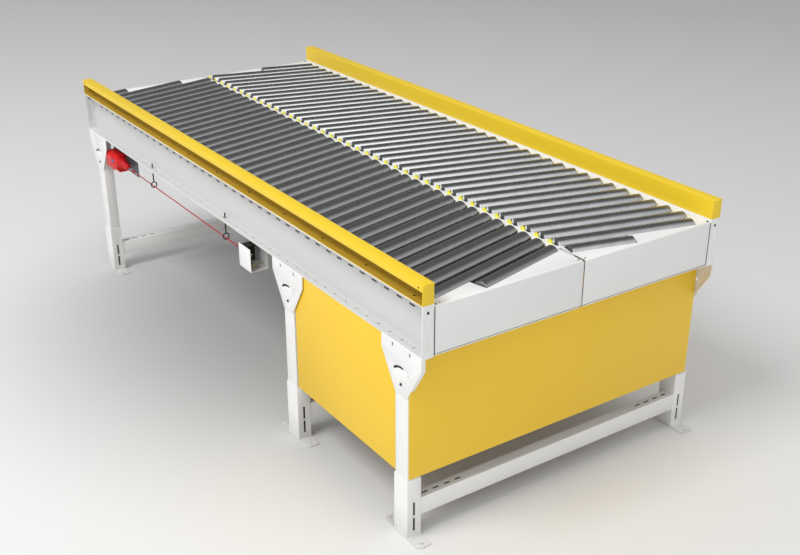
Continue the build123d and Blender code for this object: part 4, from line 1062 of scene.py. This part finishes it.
fins = [(boxed(204, 2.6, 8, 0.6, 1),
         at(141, MOTOR_Y, MOTOR_Z) @ Matrix.Rotation(2 * math.pi * step / FINS, 4, "X")
         @ Matrix.Translation((0, 0, FIN_RADIUS * MM)), motor_enamel) for step in range(FINS)]
terminal_box = [(boxed(90, 26, 70, 5), at(120, -1086, 640), motor_enamel),
                (turned(CABLE_GLAND, 18), at(120, -1099, 618, (0, -0.4, -1)), grey_abs)]
gather("motor_fins", fins + terminal_box, "deck")
flanges = [(turned(FLANGE, 40), at(PULLEY_X + way * (PULLEY_WIDTH / 2 + 0.2), MOTOR_Y, MOTOR_Z,
                                   (way, 0, 0)), ground_steel) for way in SIDES]
gather("motor_belt_pulley", [
    (toothed(36, 24, 2.2, PULLEY_WIDTH), at(PULLEY_X, MOTOR_Y, MOTOR_Z), ground_steel),
    (turned(HUB, 28), at(-102.3, MOTOR_Y, MOTOR_Z, (-1, 0, 0)), ground_steel)] + flanges,
       "motor_pulley", "motor_pulley")

# %% [markdown]
# ## Floor
#
# The table stands in a plain studio. The floor is a wide sheet whose tone fades from pale at the
# front to grey at the back, a painted falloff of the light. Light from all round would leave too
# little shade below so open a table, so a soft pool of painted shadow under it helps the real
# shadow.

# %% Floor
FLOOR_HALF, FLOOR_Z = 30, -0.001
INTO_DEPTH = (0.8, 0.6, 0)  # away from the camera, level


def graded(tree, source, direction, values):
    """Value that changes along a direction, between the limits given."""
    run = add(tree, "ShaderNodeVectorMath", {"operation": "DOT_PRODUCT"}, {1: direction},
              {0: source})
    return add(tree, "ShaderNodeMapRange", values=values, links={"Value": run.outputs["Value"]})


floor_mesh = bpy.data.meshes.new("studio_floor")
floor_mesh.from_pydata([(x * FLOOR_HALF, y * FLOOR_HALF, FLOOR_Z)
                        for x, y in ((-1, -1), (1, -1), (1, 1), (-1, 1))], [], [(0, 1, 2, 3)])
floor = show("studio_floor", floor_mesh)
paper, tree, shader, place = new_material("studio_paper")
# Painted falloff of the light: the floor's tone darkens away from the camera.
depth = graded(tree, place, INTO_DEPTH, {"From Min": -3.5, "From Max": 8.5})
tone = add(tree, "ShaderNodeMix", {"data_type": "RGBA"}, {6: paint("#EDEDED"), 7: paint("#BCBCBC")},
           {0: depth})
# Painted shadow: a soft dark pool on the floor under the table.
pool = add(tree, "ShaderNodeVectorMath", {"operation": "DISTANCE"}, {1: (-0.1, 0.35, 0)},
           {0: place})
shade = add(tree, "ShaderNodeMapRange", {"interpolation_type": "SMOOTHSTEP"},
            {"From Min": 0.3, "From Max": 1.9, "To Min": 0.6}, {"Value": pool.outputs["Value"]})
dark = add(tree, "ShaderNodeMix", {"data_type": "RGBA", "blend_type": "MULTIPLY"}, {0: 1},
           {6: tone.outputs[2], 7: shade})
plug(tree, shader, {"Roughness": 0.75}, {"Base Color": dark.outputs[2]})
floor_mesh.materials.append(paper)
print("floor side in metres:", 2 * FLOOR_HALF)

# %% [markdown]
# ## Sky
#
# The sky fills in what the lamp leaves, in one even tone. Gloss shows more: a roller mirrors what
# is round it, and in an even sky it would look like a grey stick. So rays that leave a glossy
# surface see a sky with a wide bright front and one strip light high above it. A roller's mirror
# images lie on a cone about its own axis, so a strip that is narrow along that axis gives each
# roller of a lane one clean line. The camera itself sees a backdrop that darkens away from it, a
# painted falloff that meets the floor's tone.

# %% Sky
LANE_AXIS = (0.97, -0.242, 0)  # of the right lane's rollers
FRONT, STRIP = (0.1, -1, 0.1), (0.096, -0.69, 0.718)  # where the lights lie, seen from a roller
BASE_LIGHT, SKY_STRENGTH = 0.29, 0.76

world = bpy.data.worlds.new("studio")
bpy.context.scene.world = world
world.use_nodes = True
tree = world.node_tree
ray = add(tree, "ShaderNodeLightPath").outputs
way = add(tree, "ShaderNodeTexCoord").outputs["Generated"]
front = graded(tree, way, FRONT, {"From Min": 0.1, "From Max": 0.6, "To Max": 1.7})
above = graded(tree, way, STRIP, {"From Min": 0.86, "From Max": 0.94, "To Max": 5.5})
narrow = graded(tree, way, LANE_AXIS, {"From Min": 0.43, "From Max": 0.3})
strip = add(tree, "ShaderNodeMath", {"operation": "MULTIPLY"}, links={0: above, 1: narrow})
lights = add(tree, "ShaderNodeMath", {"operation": "ADD"}, links={0: front, 1: strip})
mirrored = add(tree, "ShaderNodeMath", {"operation": "ADD"}, {1: BASE_LIGHT}, {0: lights})
seen = add(tree, "ShaderNodeMix", {"data_type": "RGBA"}, {6: paint("#F4F4F4")},
           {0: ray["Is Glossy Ray"], 7: mirrored})
# Painted falloff: the backdrop the camera sees darkens away from it, as the floor does.
haze = graded(tree, way, INTO_DEPTH, {"From Min": -1, "From Max": 1, "To Min": 0.8, "To Max": 0.46})
backdrop = add(tree, "ShaderNodeMix", {"data_type": "RGBA"},
               links={0: ray["Is Camera Ray"], 6: seen.outputs[2], 7: haze})
plug(tree, tree.nodes["Background"], {"Strength": SKY_STRENGTH}, {"Color": backdrop.outputs[2]})
print("sky nodes:", len(tree.nodes))

# %% [markdown]
# ## Lamp and camera
#
# One large soft lamp stands on the left above the table. Its size gives the broad soft shadows of
# a studio. The camera stands where the edges of the table meet the picture as they should, which
# fixes its place, its turn and its lens together.

# %% Lamp and camera
LAMP_PLACE, LAMP_TARGET = Vector((-6.2, -0.9, 8.6)), Vector((0, 0, 0.7))
lamp = bpy.data.lights.new("key_softbox", "AREA")
lamp.size = 4.1
lamp.energy = 550
holder = show("key_softbox", lamp)
holder.location = LAMP_PLACE
holder.rotation_euler = (LAMP_TARGET - LAMP_PLACE).to_track_quat("-Z", "Y").to_euler()

camera = bpy.data.cameras.new("camera")
camera.lens = 50.05
camera.sensor_width = 36
eye = show("camera", camera)
eye.location = (-2.464, -4.014, 2.443)
eye.rotation_euler = (math.radians(65.41), 0, math.radians(-34.15))
bpy.context.scene.camera = eye
bpy.context.scene.view_settings.view_transform = "Standard"
print("camera at", tuple(eye.location))
